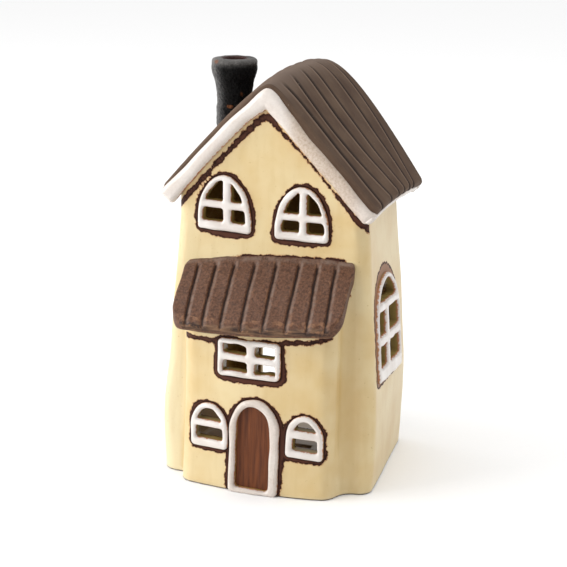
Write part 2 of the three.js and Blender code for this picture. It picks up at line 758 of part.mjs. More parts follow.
// Assembly
const house = new THREE.Group();
house.name = 'tea_light_house';
house.add(
  piece('base_slab', baseBlock(0), creamGlaze),
  piece('front_wall', frontWall(), creamGlaze),
  piece('back_wall', backWall(), creamGlaze),
  piece('left_wall', sideWall(-1), creamGlaze),
  piece('right_wall', sideWall(1), creamGlaze),
  piece('bay_wall', bayWall(), creamGlaze),
  piece('left_roof_slope', roofSlope(-1).subtract(flueHole()), brownRoofGlaze),
  piece('right_roof_slope', roofSlope(1), brownRoofGlaze),
  piece('front_left_bargeboard', bargeboard(-1, true), whiteGlaze),
  piece('front_right_bargeboard', bargeboard(1, true), whiteGlaze),
  piece('back_left_bargeboard', bargeboard(-1, false), whiteGlaze),
  piece('back_right_bargeboard', bargeboard(1, false), whiteGlaze),
  piece('left_eave_fascia', eaveFascia(-1), whiteGlaze),
  piece('right_eave_fascia', eaveFascia(1), whiteGlaze),
  piece('lean_to_roof', leanToRoof(), darkRoofGlaze),
  piece('chimney', chimney(), charcoalGlaze),
  piece('door_panel', doorPanel(), doorGlaze),
  piece('door_surround', doorSurround(), whiteGlaze),
  piece('upper_left_window', inFrontWall(upperWindow(upperLeftWindow)), whiteGlaze),
  piece('upper_right_window', inFrontWall(upperWindow(upperRightWindow)), whiteGlaze),
  piece('centre_window', inBayWall(centreWindow), whiteGlaze),
  piece('lower_left_window', inBayWall(lowerWindow(lowerLeftWindow)), whiteGlaze),
  piece('lower_right_window', inBayWall(lowerWindow(lowerRightWindow)), whiteGlaze),
  piece('right_side_window', inSideWall(1), whiteGlaze),
  piece('left_side_window', inSideWall(-1), whiteGlaze),
);

export default house;
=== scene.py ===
"""A pottery house that holds a tea light: slab-built earthenware, brush-glazed and fired in one piece.

The sections follow the potter: body, roof, white boards, lean-to, chimney, door and windows, and then
the table, the lights and the camera. Shapes are worked out in millimetres in the frame's own axes:
+Z up, -Y out of the front door, +X to the right of someone facing it.
"""

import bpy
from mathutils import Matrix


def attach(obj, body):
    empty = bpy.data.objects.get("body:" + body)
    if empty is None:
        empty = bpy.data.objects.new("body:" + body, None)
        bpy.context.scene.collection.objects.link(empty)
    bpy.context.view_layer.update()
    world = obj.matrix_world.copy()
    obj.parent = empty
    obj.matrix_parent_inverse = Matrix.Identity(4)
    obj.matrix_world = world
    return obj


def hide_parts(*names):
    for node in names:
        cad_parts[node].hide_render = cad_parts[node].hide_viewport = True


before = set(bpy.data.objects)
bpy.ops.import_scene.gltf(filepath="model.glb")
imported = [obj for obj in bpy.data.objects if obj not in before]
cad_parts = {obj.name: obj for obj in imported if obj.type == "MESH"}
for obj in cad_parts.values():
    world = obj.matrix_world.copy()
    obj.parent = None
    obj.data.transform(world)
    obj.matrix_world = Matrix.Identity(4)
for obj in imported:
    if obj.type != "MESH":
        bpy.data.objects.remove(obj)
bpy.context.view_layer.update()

import math

import bpy
import numpy as np
from mathutils import Matrix

# Glazed body.
# Rolled slabs of light earthenware, luted at the corners and smoothed with a sponge: a tower that leans
# in as it rises, with a bowed bay in front, open to each other inside. A cream glaze covers it, and brown
# oxide is brushed round every window and under the gable.
WALL = 4.5
FLOOR = 5.0
WALL_FRONT = -39.8
FRONT_LEAN = 4.3
WALL_BACK = 39.3
BACK_LEAN = 2.3
BELLY_HEIGHT = 28.0
EAVE_HEIGHT = 125.0
FOOT_HALF_WIDTH = 52.0
BELLY_SWELL = 1.0
TAPER = 6.6
TAPER_POWER = 1.3
BACK_NARROWING = 5.0
BACK_TUCK = 1.6
LEFT_FLARE = 0.9
TOWER_CORNER = 7.0
LEFT_FOOT_CORNER = 4.0
BAY_HALF_WIDTH = 37.2
BAY_DEPTH = 52.6
BAY_LEAN = 1.0
BAY_BOW = 2.6
BAY_BOW_REACH = 30.7
BAY_CORNER = 6.5
BAY_FILLET = 6.0
FOOT_ROUNDING = 0.7
FOOT_FLARE = 1.3
# Down at the foot: how far the front comes forward, and more so on the left, where the side wall comes in
# and the corner gets rounder.
FOOT_FORWARD = 1.2
LEFT_FOOT_FORWARD = 2.0
LEFT_FOOT_TUCK = 0.8
LEFT_FOOT_SOFTER = 4.0


def linear(hex_colour):
    """An sRGB hex colour as the linear RGBA that shader sockets take."""
    parts = [int(hex_colour[i:i + 2], 16) / 255 for i in (1, 3, 5)]
    return tuple(p / 12.92 if p <= 0.04045 else ((p + 0.055) / 1.055) ** 2.4 for p in parts) + (1.0,)


def ease(value, low, high):
    """0 below low, 1 above high, and a smooth step between them."""
    t = np.clip((value - low) / (high - low), 0, 1)
    return t * t * (3 - 2 * t)


def common(a, b, radius):
    """What two shapes have in common, with the edge between them rounded."""
    edge = np.hypot(np.maximum(a + radius, 0), np.maximum(b + radius, 0))
    return np.minimum(np.maximum(a, b), -radius) + edge


def joined(a, b, radius):
    """Two shapes joined, with a hollow fillet between them."""
    return -common(-a, -b, radius)


def wander(a, b, size, seed):
    """A slow, smooth unevenness between about -1 and 1, as hands leave it, with humps of that size."""
    total = 0
    for turn in range(5):
        angle = seed * 1.7 + turn * 2.4
        pace = 2 * math.pi / size / (0.8 + 0.17 * turn)
        run = (a * math.cos(angle) + b * math.sin(angle)) * pace
        total = total + np.sin(run + seed * 3.1 + turn * 1.9)
    return total / 3.2


def wall_front(z):
    return WALL_FRONT + FRONT_LEAN * np.minimum(z / EAVE_HEIGHT, 1)


def wall_back(z):
    return WALL_BACK - BACK_LEAN * np.minimum(z / EAVE_HEIGHT, 1)


def wall_side(y, z):
    swell = BELLY_SWELL * np.sin(np.pi / 2 * np.clip(z / BELLY_HEIGHT, 0, 1))
    rise = np.clip((z - BELLY_HEIGHT) / (EAVE_HEIGHT - BELLY_HEIGHT), 0, 1)
    back = np.clip((y - wall_front(z)) / (wall_back(z) - wall_front(z)), 0, 1)
    narrowing = BACK_NARROWING + BACK_TUCK * (1 - ease(z, 14, 50))
    return FOOT_HALF_WIDTH + swell - TAPER * rise ** TAPER_POWER - narrowing * back


def bay_face(x, z):
    bow = BAY_BOW * (1 - np.clip(x / BAY_BOW_REACH, -1.3, 1.3) ** 2)
    return -(BAY_DEPTH - BAY_LEAN * z / 100) - bow - FOOT_FLARE * np.exp(-z / 10)


# The roof's upper surface. Its ridge rises to a crown along the depth and gets rounder towards the back,
# its slopes get steeper, and its left one lifts at the eave.
RIDGE_HEIGHT = 189.0
RIDGE_ROUND = 3.0
RIDGE_ROUND_GAIN = 10.0
PITCH = 1.07
PITCH_GAIN = 0.31
ROOF_FRONT = -38.6
ROOF_BACK = 40.6
ROOF_HALF_SPAN = 52.0
ROOF_THICKNESS = 7.2
RIDGE_CROWN = 3.4
CROWN_PLACE = 10.0
CROWN_REACH = 50.0
LEFT_BELLY = 2.0
LEFT_LIFT = 0.046
RIGHT_BELLY = 2.4


def roof_surface(x, y):
    along = (y - ROOF_FRONT) / (ROOF_BACK - ROOF_FRONT)
    ridge_round = RIDGE_ROUND + RIDGE_ROUND_GAIN * along
    pitch = PITCH + PITCH_GAIN * along
    crown = RIDGE_CROWN * (1 - ((y - CROWN_PLACE) / CROWN_REACH) ** 2)
    left = LEFT_BELLY * np.sin(np.pi * np.clip(-x / ROOF_HALF_SPAN, 0, 1))
    left = left + LEFT_LIFT * np.maximum(-x, 0)
    right = RIGHT_BELLY * np.clip(along, 0, 1) * np.sin(np.pi * np.clip(x / ROOF_HALF_SPAN, 0, 1))
    return RIDGE_HEIGHT + crown + left + right - pitch * (np.hypot(x, ridge_round) - ridge_round)


ROOF_SLANT = math.cos(math.atan(1.19))
EAVE_ANGLE = math.radians(50)
LEFT_EAVE_OUT = 1.4
RIGHT_EAVE_OUT = 2.2


def past_eave(x, y, z):
    """Distance beyond the roof's ends, which are cut square to the slopes at the two eaves."""
    out = np.where(x > 0, RIGHT_EAVE_OUT, LEFT_EAVE_OUT)
    edge = roof_surface(np.sign(x) * ROOF_HALF_SPAN, y)
    return (np.abs(x) - ROOF_HALF_SPAN) * math.cos(EAVE_ANGLE) + (edge - z) * math.sin(EAVE_ANGLE) - out


def roof_underside(x, y):
    return roof_surface(x, y) - ROOF_THICKNESS / ROOF_SLANT


# The lean-to's upper surface, from the wall down to its lip. Its lip tilts and curls up at both sides, and
# its top droops to the left.
LEAN_TOP = 110.7
LEAN_LIP = 83.0
LEAN_LIP_TILT = 0.054
LEAN_LIP_CURL = 0.0011
LEAN_WALL_Y = -36.03
LEAN_LIP_Y = -60.9
LEAN_HALF_WIDTH = 42.0
LEAN_THICKNESS = 6.0
LEAN_DROOP = 6.9
LEAN_DROOP_POWER = 2.7
LEAN_BELLY = 1.2
LEAN_ANGLE = math.radians(46)
LEAN_SLANT = math.cos(LEAN_ANGLE)


def lean_lip(x):
    return LEAN_LIP + LEAN_LIP_TILT * x + LEAN_LIP_CURL * x ** 2


def lean_out(y):
    """0 at the wall and 1 at the lean-to's lip."""
    return (LEAN_WALL_Y - y) / (LEAN_WALL_Y - LEAN_LIP_Y)


def lean_surface(x, y):
    out = lean_out(y)
    leftward = np.clip((LEAN_HALF_WIDTH - x) / (2 * LEAN_HALF_WIDTH), 0, 1)
    top = LEAN_TOP - LEAN_DROOP * leftward ** LEAN_DROOP_POWER
    return top + (lean_lip(x) - top) * out + LEAN_BELLY * np.sin(np.pi * np.clip(out, 0, 1))


def house_walls(x, y, z):
    """The outside of tower and bay, before roof, floor and windows."""
    left = x < 0
    low_left = (1 - ease(z, 18, 66)) * left
    foot = 1 - ease(z, 0, 38)
    side = np.abs(x) - wall_side(y, z) - (LEFT_FLARE * low_left - LEFT_FOOT_TUCK * foot * left)
    side = side + 0.2 * wander(y, z, 46, 1)
    front = wall_front(z) - y - (FOOT_FORWARD + LEFT_FOOT_FORWARD * left) * foot
    front = front + 0.22 * wander(x, z, 40, 2)
    ends = np.maximum(front, y - wall_back(z) + 0.2 * wander(x, z, 44, 3))
    corner = TOWER_CORNER + (LEFT_FOOT_CORNER - TOWER_CORNER) * low_left + LEFT_FOOT_SOFTER * foot * left
    tower = common(side, ends, corner)
    half = BAY_HALF_WIDTH + np.where(left, 0.2 + 1.6 * (1 - ease(z, 0, 62)), 0.7 * foot)
    bay = common(np.abs(x) - half, bay_face(x, z) - y + 0.22 * wander(x, z, 38, 4), BAY_CORNER)
    both = joined(tower, np.maximum(bay, y), BAY_FILLET + np.where(left, -3.0, 2.0) * foot)
    above = (z - lean_surface(x, y) + LEAN_THICKNESS * 0.6) * LEAN_SLANT
    return np.minimum(tower, np.maximum(both, above))


def arch(across, up, half, height, crown, corner=2.0):
    """Distance to an arched outline that stands on up = 0, negative inside it."""
    across = np.abs(across) + 1e-6
    rise = np.maximum(up - (height - crown), 0)
    k = np.hypot(across / half, rise / crown)
    sides = (k - 1) * k / np.hypot(across / half ** 2, rise / crown ** 2)
    return common(sides, -up, corner)


def box_outline(across, up, half, height, corner):
    """Distance to a rounded rectangle that stands on up = 0, negative inside it."""
    return common(np.abs(across) - half, np.abs(up - height / 2) - height / 2, corner)


# Each window: middle across, sill height, half width, height and crown of its frame, its tilt, and the
# widths of the brown line round it at eight places, from its right side anticlockwise to its lower right.
FRONT_WINDOWS = {
    "upper_left_window": (-22.1, 119.7, 13.2, 26.2, 21.6, 0.04, (2.3, 2.1, 1.9, 1.0, 1.6, 2.0, 3.7, 2.2)),
    "upper_right_window": (15.6, 118.2, 12.9, 25.2, 21.0, 0.01, (2.3, 2.5, 1.9, 0.9, 1.9, 2.5, 2.9, 1.6)),
    "lower_left_window": (-22.7, 19.5, 9.6, 21.8, 12.2, 0.0, (1.8, 1.8, 1.5, 2.4, 1.4, 1.7, 2.6, 2.2)),
    "lower_right_window": (24.2, 19.7, 8.7, 20.8, 11.3, 0.08, (1.4, 1.9, 1.6, 1.4, 2.6, 2.7, 2.7, 1.5)),
}
CENTRE_WINDOW = (-2.8, 56.0, 15.4, 18.2, (2.5, 1.0, 0.1, 1.4, 2.4, 3.0, 3.4, 3.2))
DOORWAY = (-0.15, 0.0, 12.15, 46.2, 15.5, (3.0, 2.3, 1.5, 2.1, 1.8, 2.0, 0.5, 2.4))
SIDE_WINDOW = (-3.6, 48.3, 24.2, 50.0, 21.0, 0.1, (1.2, 2.8, 5.4, 4.2, 3.2, 2.6, 1.2, 1.0))
CENTRE_CORNER = 2.6
DOOR_LEAN = 0.016
DOOR_LEAN_FROM = 15.0
OPENING_INSET = 1.4


def brushed_width(across, up, widths):
    """The width of a brushed line that changes smoothly round its window."""
    turn = np.mod(np.arctan2(up, across) / (2 * np.pi) * len(widths), len(widths))
    low = np.floor(turn).astype(int) % len(widths)
    share = turn - np.floor(turn)
    share = share * share * (3 - 2 * share)
    widths = np.array(widths)
    return widths[low] * (1 - share) + widths[(low + 1) % len(widths)] * share


def window_outlines(x, y, z):
    """For each opening in front: its outline distance, the place across and up from its middle, and the
    widths of its brown line."""
    outlines = []
    for middle, sill, half, height, crown, tilt, widths in FRONT_WINDOWS.values():
        across, up = x - middle, z - sill + tilt * (x - middle)
        outlines.append((arch(across, up, half, height, crown), across, up - height / 2, widths))
    middle, sill, half, height, widths = CENTRE_WINDOW
    across, up = x - middle, z - sill
    outline = box_outline(across, up, half, height, CENTRE_CORNER)
    outlines.append((outline, across, up - height / 2, widths))
    middle, sill, half, height, crown, widths = DOORWAY
    across, up = x - middle - DOOR_LEAN * (z - DOOR_LEAN_FROM), z - sill
    outlines.append((arch(across, up, half, height, crown), across, up - height / 2, widths))
    return outlines


def side_up(y, z):
    return z + SIDE_WINDOW[5] * (y - SIDE_WINDOW[0])


def side_outline(y, z):
    middle, sill, half, height, crown = SIDE_WINDOW[:5]
    return arch(y - middle, side_up(y, z) - sill, half, height, crown)


BACK_ARCH_HALF = 29.0
BACK_ARCH_TOP = 77.0


def body_field(x, y, z):
    """The walls round their cavity, with the floor, every opening in front and at the sides, and the arch
    in the back that the tea light passes through."""
    walls = house_walls(x, y, z)
    cavity = common(walls + WALL, FLOOR - z, 2.0)
    solid = common(walls, -z, FOOT_ROUNDING)
    solid = common(solid, -cavity, 1.0)
    solid = np.maximum(solid, (z - roof_underside(x, y) - 2.2) * ROOF_SLANT)
    front = np.where(y < 0, 0.0, 50.0)
    for outline, *_ in window_outlines(x, y, z):
        solid = common(solid, -(outline + OPENING_INSET + front), 0.6)
    solid = common(solid, -(side_outline(y, z) + OPENING_INSET), 0.6)
    way_in = arch(x, z - FLOOR, BACK_ARCH_HALF, BACK_ARCH_TOP - FLOOR, BACK_ARCH_HALF, 3.0)
    way_in = way_in + np.where(y > 0, 0.0, 50.0)
    return common(solid, -way_in, 1.6)


CELL_CORNERS = np.array([(i, j, k) for i in (0, 1) for j in (0, 1) for k in (0, 1)])
CELL_EDGES = [(a, b) for a in range(8) for b in range(a, 8)
              if np.abs(CELL_CORNERS[a] - CELL_CORNERS[b]).sum() == 1]


def cast(name, field, low, high, step, settle=3):
    """Casts a solid from its field as a mesh of fours with one vertex in each cell that the surface
    crosses, settles the vertices onto the surface, and returns the object and its vertices in mm."""
    low = np.array(low, float)
    step = np.array(step, float) * np.ones(3)
    count = np.ceil((np.array(high, float) - low) / step).astype(int) + 1
    axes = [low[i] + step[i] * np.arange(count[i]) for i in range(3)]
    value = np.broadcast_to(field(*np.meshgrid(*axes, indexing="ij", sparse=True)), count)
    inside = value < 0
    cells = count - 1
    held = np.zeros(cells, int)
    for corner in CELL_CORNERS:
        held += inside[tuple(slice(c, c + n) for c, n in zip(corner, cells))]
    crossed = np.argwhere((held > 0) & (held < 8))
    number = np.full(cells, -1)
    number[tuple(crossed.T)] = np.arange(len(crossed))
    total = np.zeros((len(crossed), 3))
    crossings = np.zeros(len(crossed))
    for a, b in CELL_EDGES:
        at_a = value[tuple((crossed + CELL_CORNERS[a]).T)]
        at_b = value[tuple((crossed + CELL_CORNERS[b]).T)]
        cut = (at_a < 0) != (at_b < 0)
        share = np.where(cut, at_a / np.where(cut, at_a - at_b, 1), 0)[:, None]
        total += np.where(cut[:, None], CELL_CORNERS[a] + share * (CELL_CORNERS[b] - CELL_CORNERS[a]), 0)
        crossings += cut
    points = low + step * (crossed + total / crossings[:, None])
    faces = []
    for axis in range(3):
        one, two = (axis + 1) % 3, (axis + 2) % 3
        here = [slice(1, n) for n in cells]
        here[axis] = slice(0, cells[axis])
        there = list(here)
        there[axis] = slice(1, cells[axis] + 1)
        start, end = inside[tuple(here)], inside[tuple(there)]
        offset = np.ones(3, int)
        offset[axis] = 0
        for leaving in (True, False):
            edges = np.argwhere((start != end) & (start == leaving)) + offset
            ring = []
            for back_one, back_two in ((1, 1), (0, 1), (0, 0), (1, 0)):
                cell = edges.copy()
                cell[:, one] -= back_one
                cell[:, two] -= back_two
                ring.append(number[tuple(cell.T)])
            faces.append(np.stack(ring if leaving else ring[::-1], axis=1))
    faces = np.concatenate(faces)
    reach = 0.05
    for _ in range(settle):
        x, y, z = points.T
        height = field(x, y, z)
        slope = np.stack([
            field(x + reach, y, z) - field(x - reach, y, z),
            field(x, y + reach, z) - field(x, y - reach, z),
            field(x, y, z + reach) - field(x, y, z - reach),
        ], axis=1) / (2 * reach)
        move = -height[:, None] * slope / np.maximum((slope ** 2).sum(1), 0.2)[:, None]
        points = points + np.clip(move, -0.35 * step, 0.35 * step)
    points[:, 2] = np.maximum(points[:, 2], 0)
    mesh = bpy.data.meshes.new(name)
    mesh.vertices.add(len(points))
    mesh.vertices.foreach_set("co", (points / 1000).astype(np.float32).ravel())
    mesh.loops.add(faces.size)
    mesh.loops.foreach_set("vertex_index", faces.astype(np.int32).ravel())
    mesh.polygons.add(len(faces))
    mesh.polygons.foreach_set("loop_start", np.arange(0, faces.size, 4, dtype=np.int32))
    mesh.update(calc_edges=True)
    mesh.shade_smooth()
    piece = bpy.data.objects.new(name, mesh)
    bpy.context.scene.collection.objects.link(piece)
    return piece, points


def brush(piece, **layers):
    """Keeps numbers for each vertex, such as a brushed line's depth in mm, for the glaze to read."""
    for layer, values in layers.items():
        store = piece.data.attributes.new(layer, "FLOAT", "POINT")
        values = np.broadcast_to(values, len(piece.data.vertices))
        store.data.foreach_set("value", values.astype(np.float32))


def add(tree, kind, sockets, out=0, **settings):
    """Adds one node with its settings, links or sets its sockets, and returns one of its outputs. Sockets
    go by name, or in the node's own order: MixRGB takes an amount and two colours, and MapRange a value,
    the range that it comes from and the range that it goes to."""
    made = tree.nodes.new("ShaderNode" + kind)
    for key, value in settings.items():
        setattr(made, key, value)
    for key, value in sockets.items() if isinstance(sockets, dict) else enumerate(sockets):
        if isinstance(value, bpy.types.NodeSocket):
            tree.links.new(value, made.inputs[key])
        else:
            made.inputs[key].default_value = value
    return None if out is None else made.outputs[out]


def new_glaze(name, *layers):
    """An empty material, its node tree, the piece's own coordinates in metres, and its brushed layers."""
    glaze = bpy.data.materials.new(name)
    glaze.use_nodes = True
    tree = glaze.node_tree
    tree.nodes.clear()
    place = add(tree, "TexCoord", {}, out="Object")
    read = [add(tree, "Attribute", {}, out="Fac", attribute_name=layer) for layer in layers]
    return glaze, tree, place, *read


def close(tree, sockets):
    """Closes a material with one layered shader."""
    shader = add(tree, "BsdfPrincipled", sockets)
    add(tree, "OutputMaterial", {"Surface": shader}, out=None)


def bend(field, points, reach):
    """How sharply the surface turns at each point: above 0 on edges, below 0 in hollows, per mm."""
    x, y, z = points.T
    steps = np.vstack([np.eye(3), -np.eye(3)]) * reach
    around = sum(field(x + dx, y + dy, z + dz) for dx, dy, dz in steps)
    return (around - 6 * field(x, y, z)) / reach ** 2


def segment_reach(across, up, start, end):
    """Distance to a straight brush stroke."""
    run = np.subtract(end, start)
    along = (across - start[0]) * run[0] + (up - start[1]) * run[1]
    share = np.clip(along / (run ** 2).sum(), 0, 1)
    return np.hypot(across - start[0] - share * run[0], up - start[1] - share * run[1])


def below_roof(x, z, y=ROOF_FRONT):
    return (roof_surface(x, y) - z) * ROOF_SLANT


# The gable's brown line, at places from the left eave to the right: where it begins and ends below the
# roof's top edge.
GABLE_LINE_X = (-50, -40, -31, -25, -20, -14, -9, -4, 1, 6, 11, 16, 22, 28, 36, 42, 48)
GABLE_LINE_START = (10.0, 9.9, 9.9, 9.6, 9.5, 8.6, 8.4, 8.0, 9.4, 10.8, 10.8, 10.4, 10.6, 10.7, 10.5,
                    10.2, 9.8)
GABLE_LINE_END = (11.9, 12.0, 12.0, 11.6, 11.3, 11.3, 10.8, 10.2, 11.9, 12.2, 11.7, 11.4, 11.5, 11.6, 12.1,
                  12.8, 12.0)
# Strokes on the bay under the lean-to: start, end and width.
BAY_STROKES = (((-35.9, 71.8), (-27.5, 72.2), 1.7), ((-27.5, 72.2), (-19.0, 71.6), 2.4),
               ((12.0, 74.4), (23.0, 75.2), 2.2), ((23.0, 75.2), (34.2, 77.6), 2.0))
# A drop of glaze beside the lean-to: start and end.
DRIP = ((39.0, 95.9), (39.3, 95.4))

body, spots = cast("glazed_body", body_field, (-54, -57.5, -1), (54, 41, 184), 1.15)
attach(body, "root")
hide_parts("base_slab", "front_wall", "back_wall", "left_wall", "right_wall", "bay_wall")
x, y, z = spots.T
outer = house_walls(x, y, z) > -1.5
line = np.full(len(spots), -9.0)
lap = np.full(len(spots), 9.0)
wash = np.zeros(len(spots))


def draw(where, inward, from_frame=9.0, pale=0.0):
    """Draws a brown line where it lies deeper than those drawn before: how far in from its edge, in mm."""
    over = where & (inward > line)
    line[over] = inward[over]
    lap[over] = np.broadcast_to(from_frame, line.shape)[over]
    wash[over] = pale


for outline, across, up, widths in window_outlines(x, y, z):
    draw(outer & (y < -20), brushed_width(across, up, widths) - outline, outline)
middle, sill, half, height = SIDE_WINDOW[:4]
outline = side_outline(y, z)
width = brushed_width(y - middle, side_up(y, z) - sill - height / 2, SIDE_WINDOW[6])
draw(outer & (np.abs(x) > wall_side(y, z) - 2), width - outline, outline, 1.0)
below = below_roof(x, z)
start = np.interp(x, GABLE_LINE_X, GABLE_LINE_START)
end = np.interp(x, GABLE_LINE_X, GABLE_LINE_END)
draw(outer & (np.abs(y) > 30) & (z > 110), np.minimum(end - below, below - start) + 0.25)
over_lean = 1.3 - np.abs(z - lean_surface(x, LEAN_WALL_Y) + 0.3) - 1.5 * (1 - ease(x, -22, -12))
draw(outer & (y < -30) & (y > -40) & (np.abs(x) < 40), over_lean - 3 * ease(x, 37, 39))
for start, end, width in BAY_STROKES:
    draw(outer & (y < -46), width / 2 + 0.3 - segment_reach(x, z, start, end))
draw(outer & (y < -33) & (y > -40), 1.2 - segment_reach(x, z, *DRIP))
# Painted highlight: the tower's low left front corner, where light from the left falls, is painted paler.
low_left = (1 - ease(x, -44, -37)) * (1 - ease(z, 40, 90)) * (1 - ease(y, -38, -22))
inside = ease(-house_walls(x, y, z), 2.2, WALL - 0.4)
brush(body, line=line, lap=lap, wash=wash, bend=bend(body_field, spots, 2.0), inside=inside, height=z,
      pale=low_left)


def per_mm(size):
    """The pattern scale that repeats at about that size in mm."""
    return 1000 / size


# Cream glaze: an opaque tin glaze on buff earthenware, brushed on and fired to a satin. It shows warm
# cream with faint ochre clouds and runs, is paler over edges and darker in hollows, and has pinholes.
# Its low left front corner is painted paler, a painted highlight for the light that falls there from the
# left.
# Inside it is a darker ochre, and the floor a paler grey-beige.
glaze, tree, place, line, lap, wash, turn, inside, height, pale = new_glaze(
    "cream_tin_glaze_on_earthenware", "line", "lap", "wash", "bend", "inside", "height", "pale")
cloud = add(tree, "TexNoise", {"Vector": place, "Scale": per_mm(24), "Detail": 3.0})
cloud = add(tree, "MapRange", (cloud, 0.38, 0.68))
colour = add(tree, "MixRGB", (cloud, linear("#d6c295"), linear("#ccb07a")))
tall = add(tree, "Mapping", {"Vector": place, "Scale": (1.0, 1.0, 0.16)})
runs = add(tree, "TexNoise", {"Vector": tall, "Scale": per_mm(4), "Detail": 4.0})
runs = add(tree, "MapRange", (runs, 0.5, 0.8, 0.0, 0.3))
hollow = add(tree, "MapRange", (turn, -0.03, -0.3, 0.0, 0.55))
edge = add(tree, "MapRange", (turn, 0.2, 0.8, 0.0, 0.5))
specks = add(tree, "TexNoise", {"Vector": place, "Scale": per_mm(1.3), "Detail": 2.0})
specks = add(tree, "MapRange", (specks, 0.7, 0.78, 0.0, 0.5))
# The first of these layers is a painted highlight on the low left corner; the rest are the glaze's own
# colour.
for amount, tint in ((pale, "#dccda6"), (runs, "#bd9f68"), (hollow, "#b5975d"), (edge, "#dbcca8"),
                     (specks, "#9a773e")):
    colour = add(tree, "MixRGB", (amount, colour, linear(tint)))
# Inside, the walls are a darker ochre and the floor a paler grey-beige.
floor = add(tree, "MapRange", (height, 5.7, 5.3))
clay = add(tree, "MixRGB", (floor, linear("#8f6c33"), linear("#b3a08c")))
colour = add(tree, "MixRGB", (inside, colour, clay))
# The oxide: an orange halo, a nearly black outer edge, a brown middle, and a wash thinned out to pink. The
# middle is painted lighter at its centre, a painted highlight on the raised stroke, and darker against the
# frames, painted shade.
torn = add(tree, "TexNoise", {"Vector": place, "Scale": per_mm(3.2), "Detail": 4.0, "Roughness": 0.6})
torn = add(tree, "MapRange", (torn, 0.3, 0.66, -0.8, 0.45))
paint = add(tree, "Math", (line, torn), operation="ADD")
halo = add(tree, "MapRange", (paint, -0.35, 0.0, 0.0, 0.8))
colour = add(tree, "MixRGB", (halo, colour, linear("#a2602a")))
core = add(tree, "MapRange", (paint, 0.0, 0.15))
# Painted highlight and shade: the stroke's centre is painted lighter, its side against a frame darker.
middle = add(tree, "Math", (paint, lap), operation="MINIMUM")
oxide = add(tree, "MapRange", (middle, 0.35, 1.15))
oxide = add(tree, "MixRGB", (oxide, linear("#260c03"), linear("#4f2d20")))
faded = add(tree, "MapRange", (paint, 0.7, 1.3, 0.0, 0.8))
faded = add(tree, "Math", (faded, wash), operation="MULTIPLY")
oxide = add(tree, "MixRGB", (faded, oxide, linear("#a07c63")))
colour = add(tree, "MixRGB", (core, colour, oxide))
# The lowest millimetre of the foot is painted a darker brown.
dark_foot_band = add(tree, "MapRange", (height, 0.9, 0.4))
colour = add(tree, "MixRGB", (dark_foot_band, colour, linear("#5a4c3c")))
gloss = add(tree, "MapRange", (core, 0.0, 1.0, 0.34, 0.55))
sheen = add(tree, "MapRange", (core, 0.0, 1.0, 0.5, 0.14))
lift = add(tree, "Math", (core, 0.25), operation="MULTIPLY")
orange_peel = add(tree, "TexNoise", {"Vector": place, "Scale": per_mm(3.5), "Detail": 2.0})
relief = add(tree, "Math", (lift, orange_peel), operation="ADD")
relief = add(tree, "Bump", {"Height": relief, "Strength": 0.25, "Distance": 0.0004})
close(tree, {"Base Color": colour, "Roughness": gloss, "Normal": relief, "IOR": 1.5,
             "Specular IOR Level": sheen})
body.data.materials.append(glaze)

# Roof.
# Two thick slabs folded over the gable into one softly rounded ridge, scored into seven broad boards a
# side while leather-hard, each board's back rim left standing a little. A matte brown glaze covers them.
ROOF_EDGE = 3.2
FRONT_CORNER = 4.5
# Places along the depth where a score starts near the ridge, passes mid-slope and ends at the eave, and
# how far out from the ridge those three lie. Between the last two distances a score fades in.
SCORES = ((-29.5, -31.0, -31.0), (-17.0, -23.0, -15.0), (-3.6, -10.0, -3.0), (7.7, 1.5, 6.8),
          (20.9, 16.8, 16.5), (34.0, 30.2, 24.0))
SCORE_REACH = (4.0, 28.0, 52.0)
SCORE_FADE = (1.5, 7.0)
SCORE_DEPTH = 1.6
RIM_HEIGHT = 0.55
BOARD_TILT = 0.5
CHIMNEY_X = -32.4
CHIMNEY_Y = 3.8
FLUE_RADIUS = 5.5


def score_place(out, places):
    a, b, c = SCORE_REACH
    return (places[0] * (out - b) * (out - c) / ((a - b) * (a - c))
            + places[1] * (out - a) * (out - c) / ((b - a) * (b - c))
            + places[2] * (out - a) * (out - b) / ((c - a) * (c - b)))


def score_distances(x, y):
    """Signed distance along the depth to each score, above 0 behind it."""
    out = np.abs(x)
    return [y - score_place(out, places) + 0.25 * wander(out, y * 0, 17, n)
            for n, places in enumerate(SCORES)]


def board_relief(x, y):
    """Height of the boards over the plain slope: a rim and a cut at each score, a slight tilt between."""
    relief = 0
    for gap in score_distances(x, y):
        relief = relief - SCORE_DEPTH * np.exp(-((gap - 0.9) / 1.15) ** 2)
        relief = relief + RIM_HEIGHT * np.exp(-((gap + 1.4) / 0.9) ** 2)
        relief = relief - BOARD_TILT * np.exp(-((gap - 3.2) / 2.4) ** 2)
    return relief * ease(np.abs(x), *SCORE_FADE)


def flue_reach(x, y):
    return np.hypot(x - CHIMNEY_X, y - CHIMNEY_Y)


def roof_field(x, y, z):
    """Both slabs with their scores, which notch the eaves, and with the flue's hole."""
    cut = np.exp(-(np.min(np.abs(score_distances(x, y)), axis=0) / 1.5) ** 2)
    over = (z - roof_surface(x, y) - board_relief(x, y)) * ROOF_SLANT + 0.15 * wander(x, y, 24, 5)
    slab = common(over, past_eave(x, y, z) + 1.3 * cut, ROOF_EDGE)
    slab = common(slab, (roof_underside(x, y) - z) * ROOF_SLANT, 1.2)
    front_corner = common(ROOF_FRONT - y, np.where(x > 0, past_eave(x, y, z), -9), FRONT_CORNER)
    slab = common(slab, np.maximum(front_corner, y - ROOF_BACK), 1.3)
    return common(slab, FLUE_RADIUS - flue_reach(x, y), 0.8)


roof, spots = cast("tiled_roof", roof_field, (-54, -40, 112), (54, 42, 194), (1.0, 0.4, 1.0))
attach(roof, "root")
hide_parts("left_roof_slope", "right_roof_slope")
x, y, z = spots.T
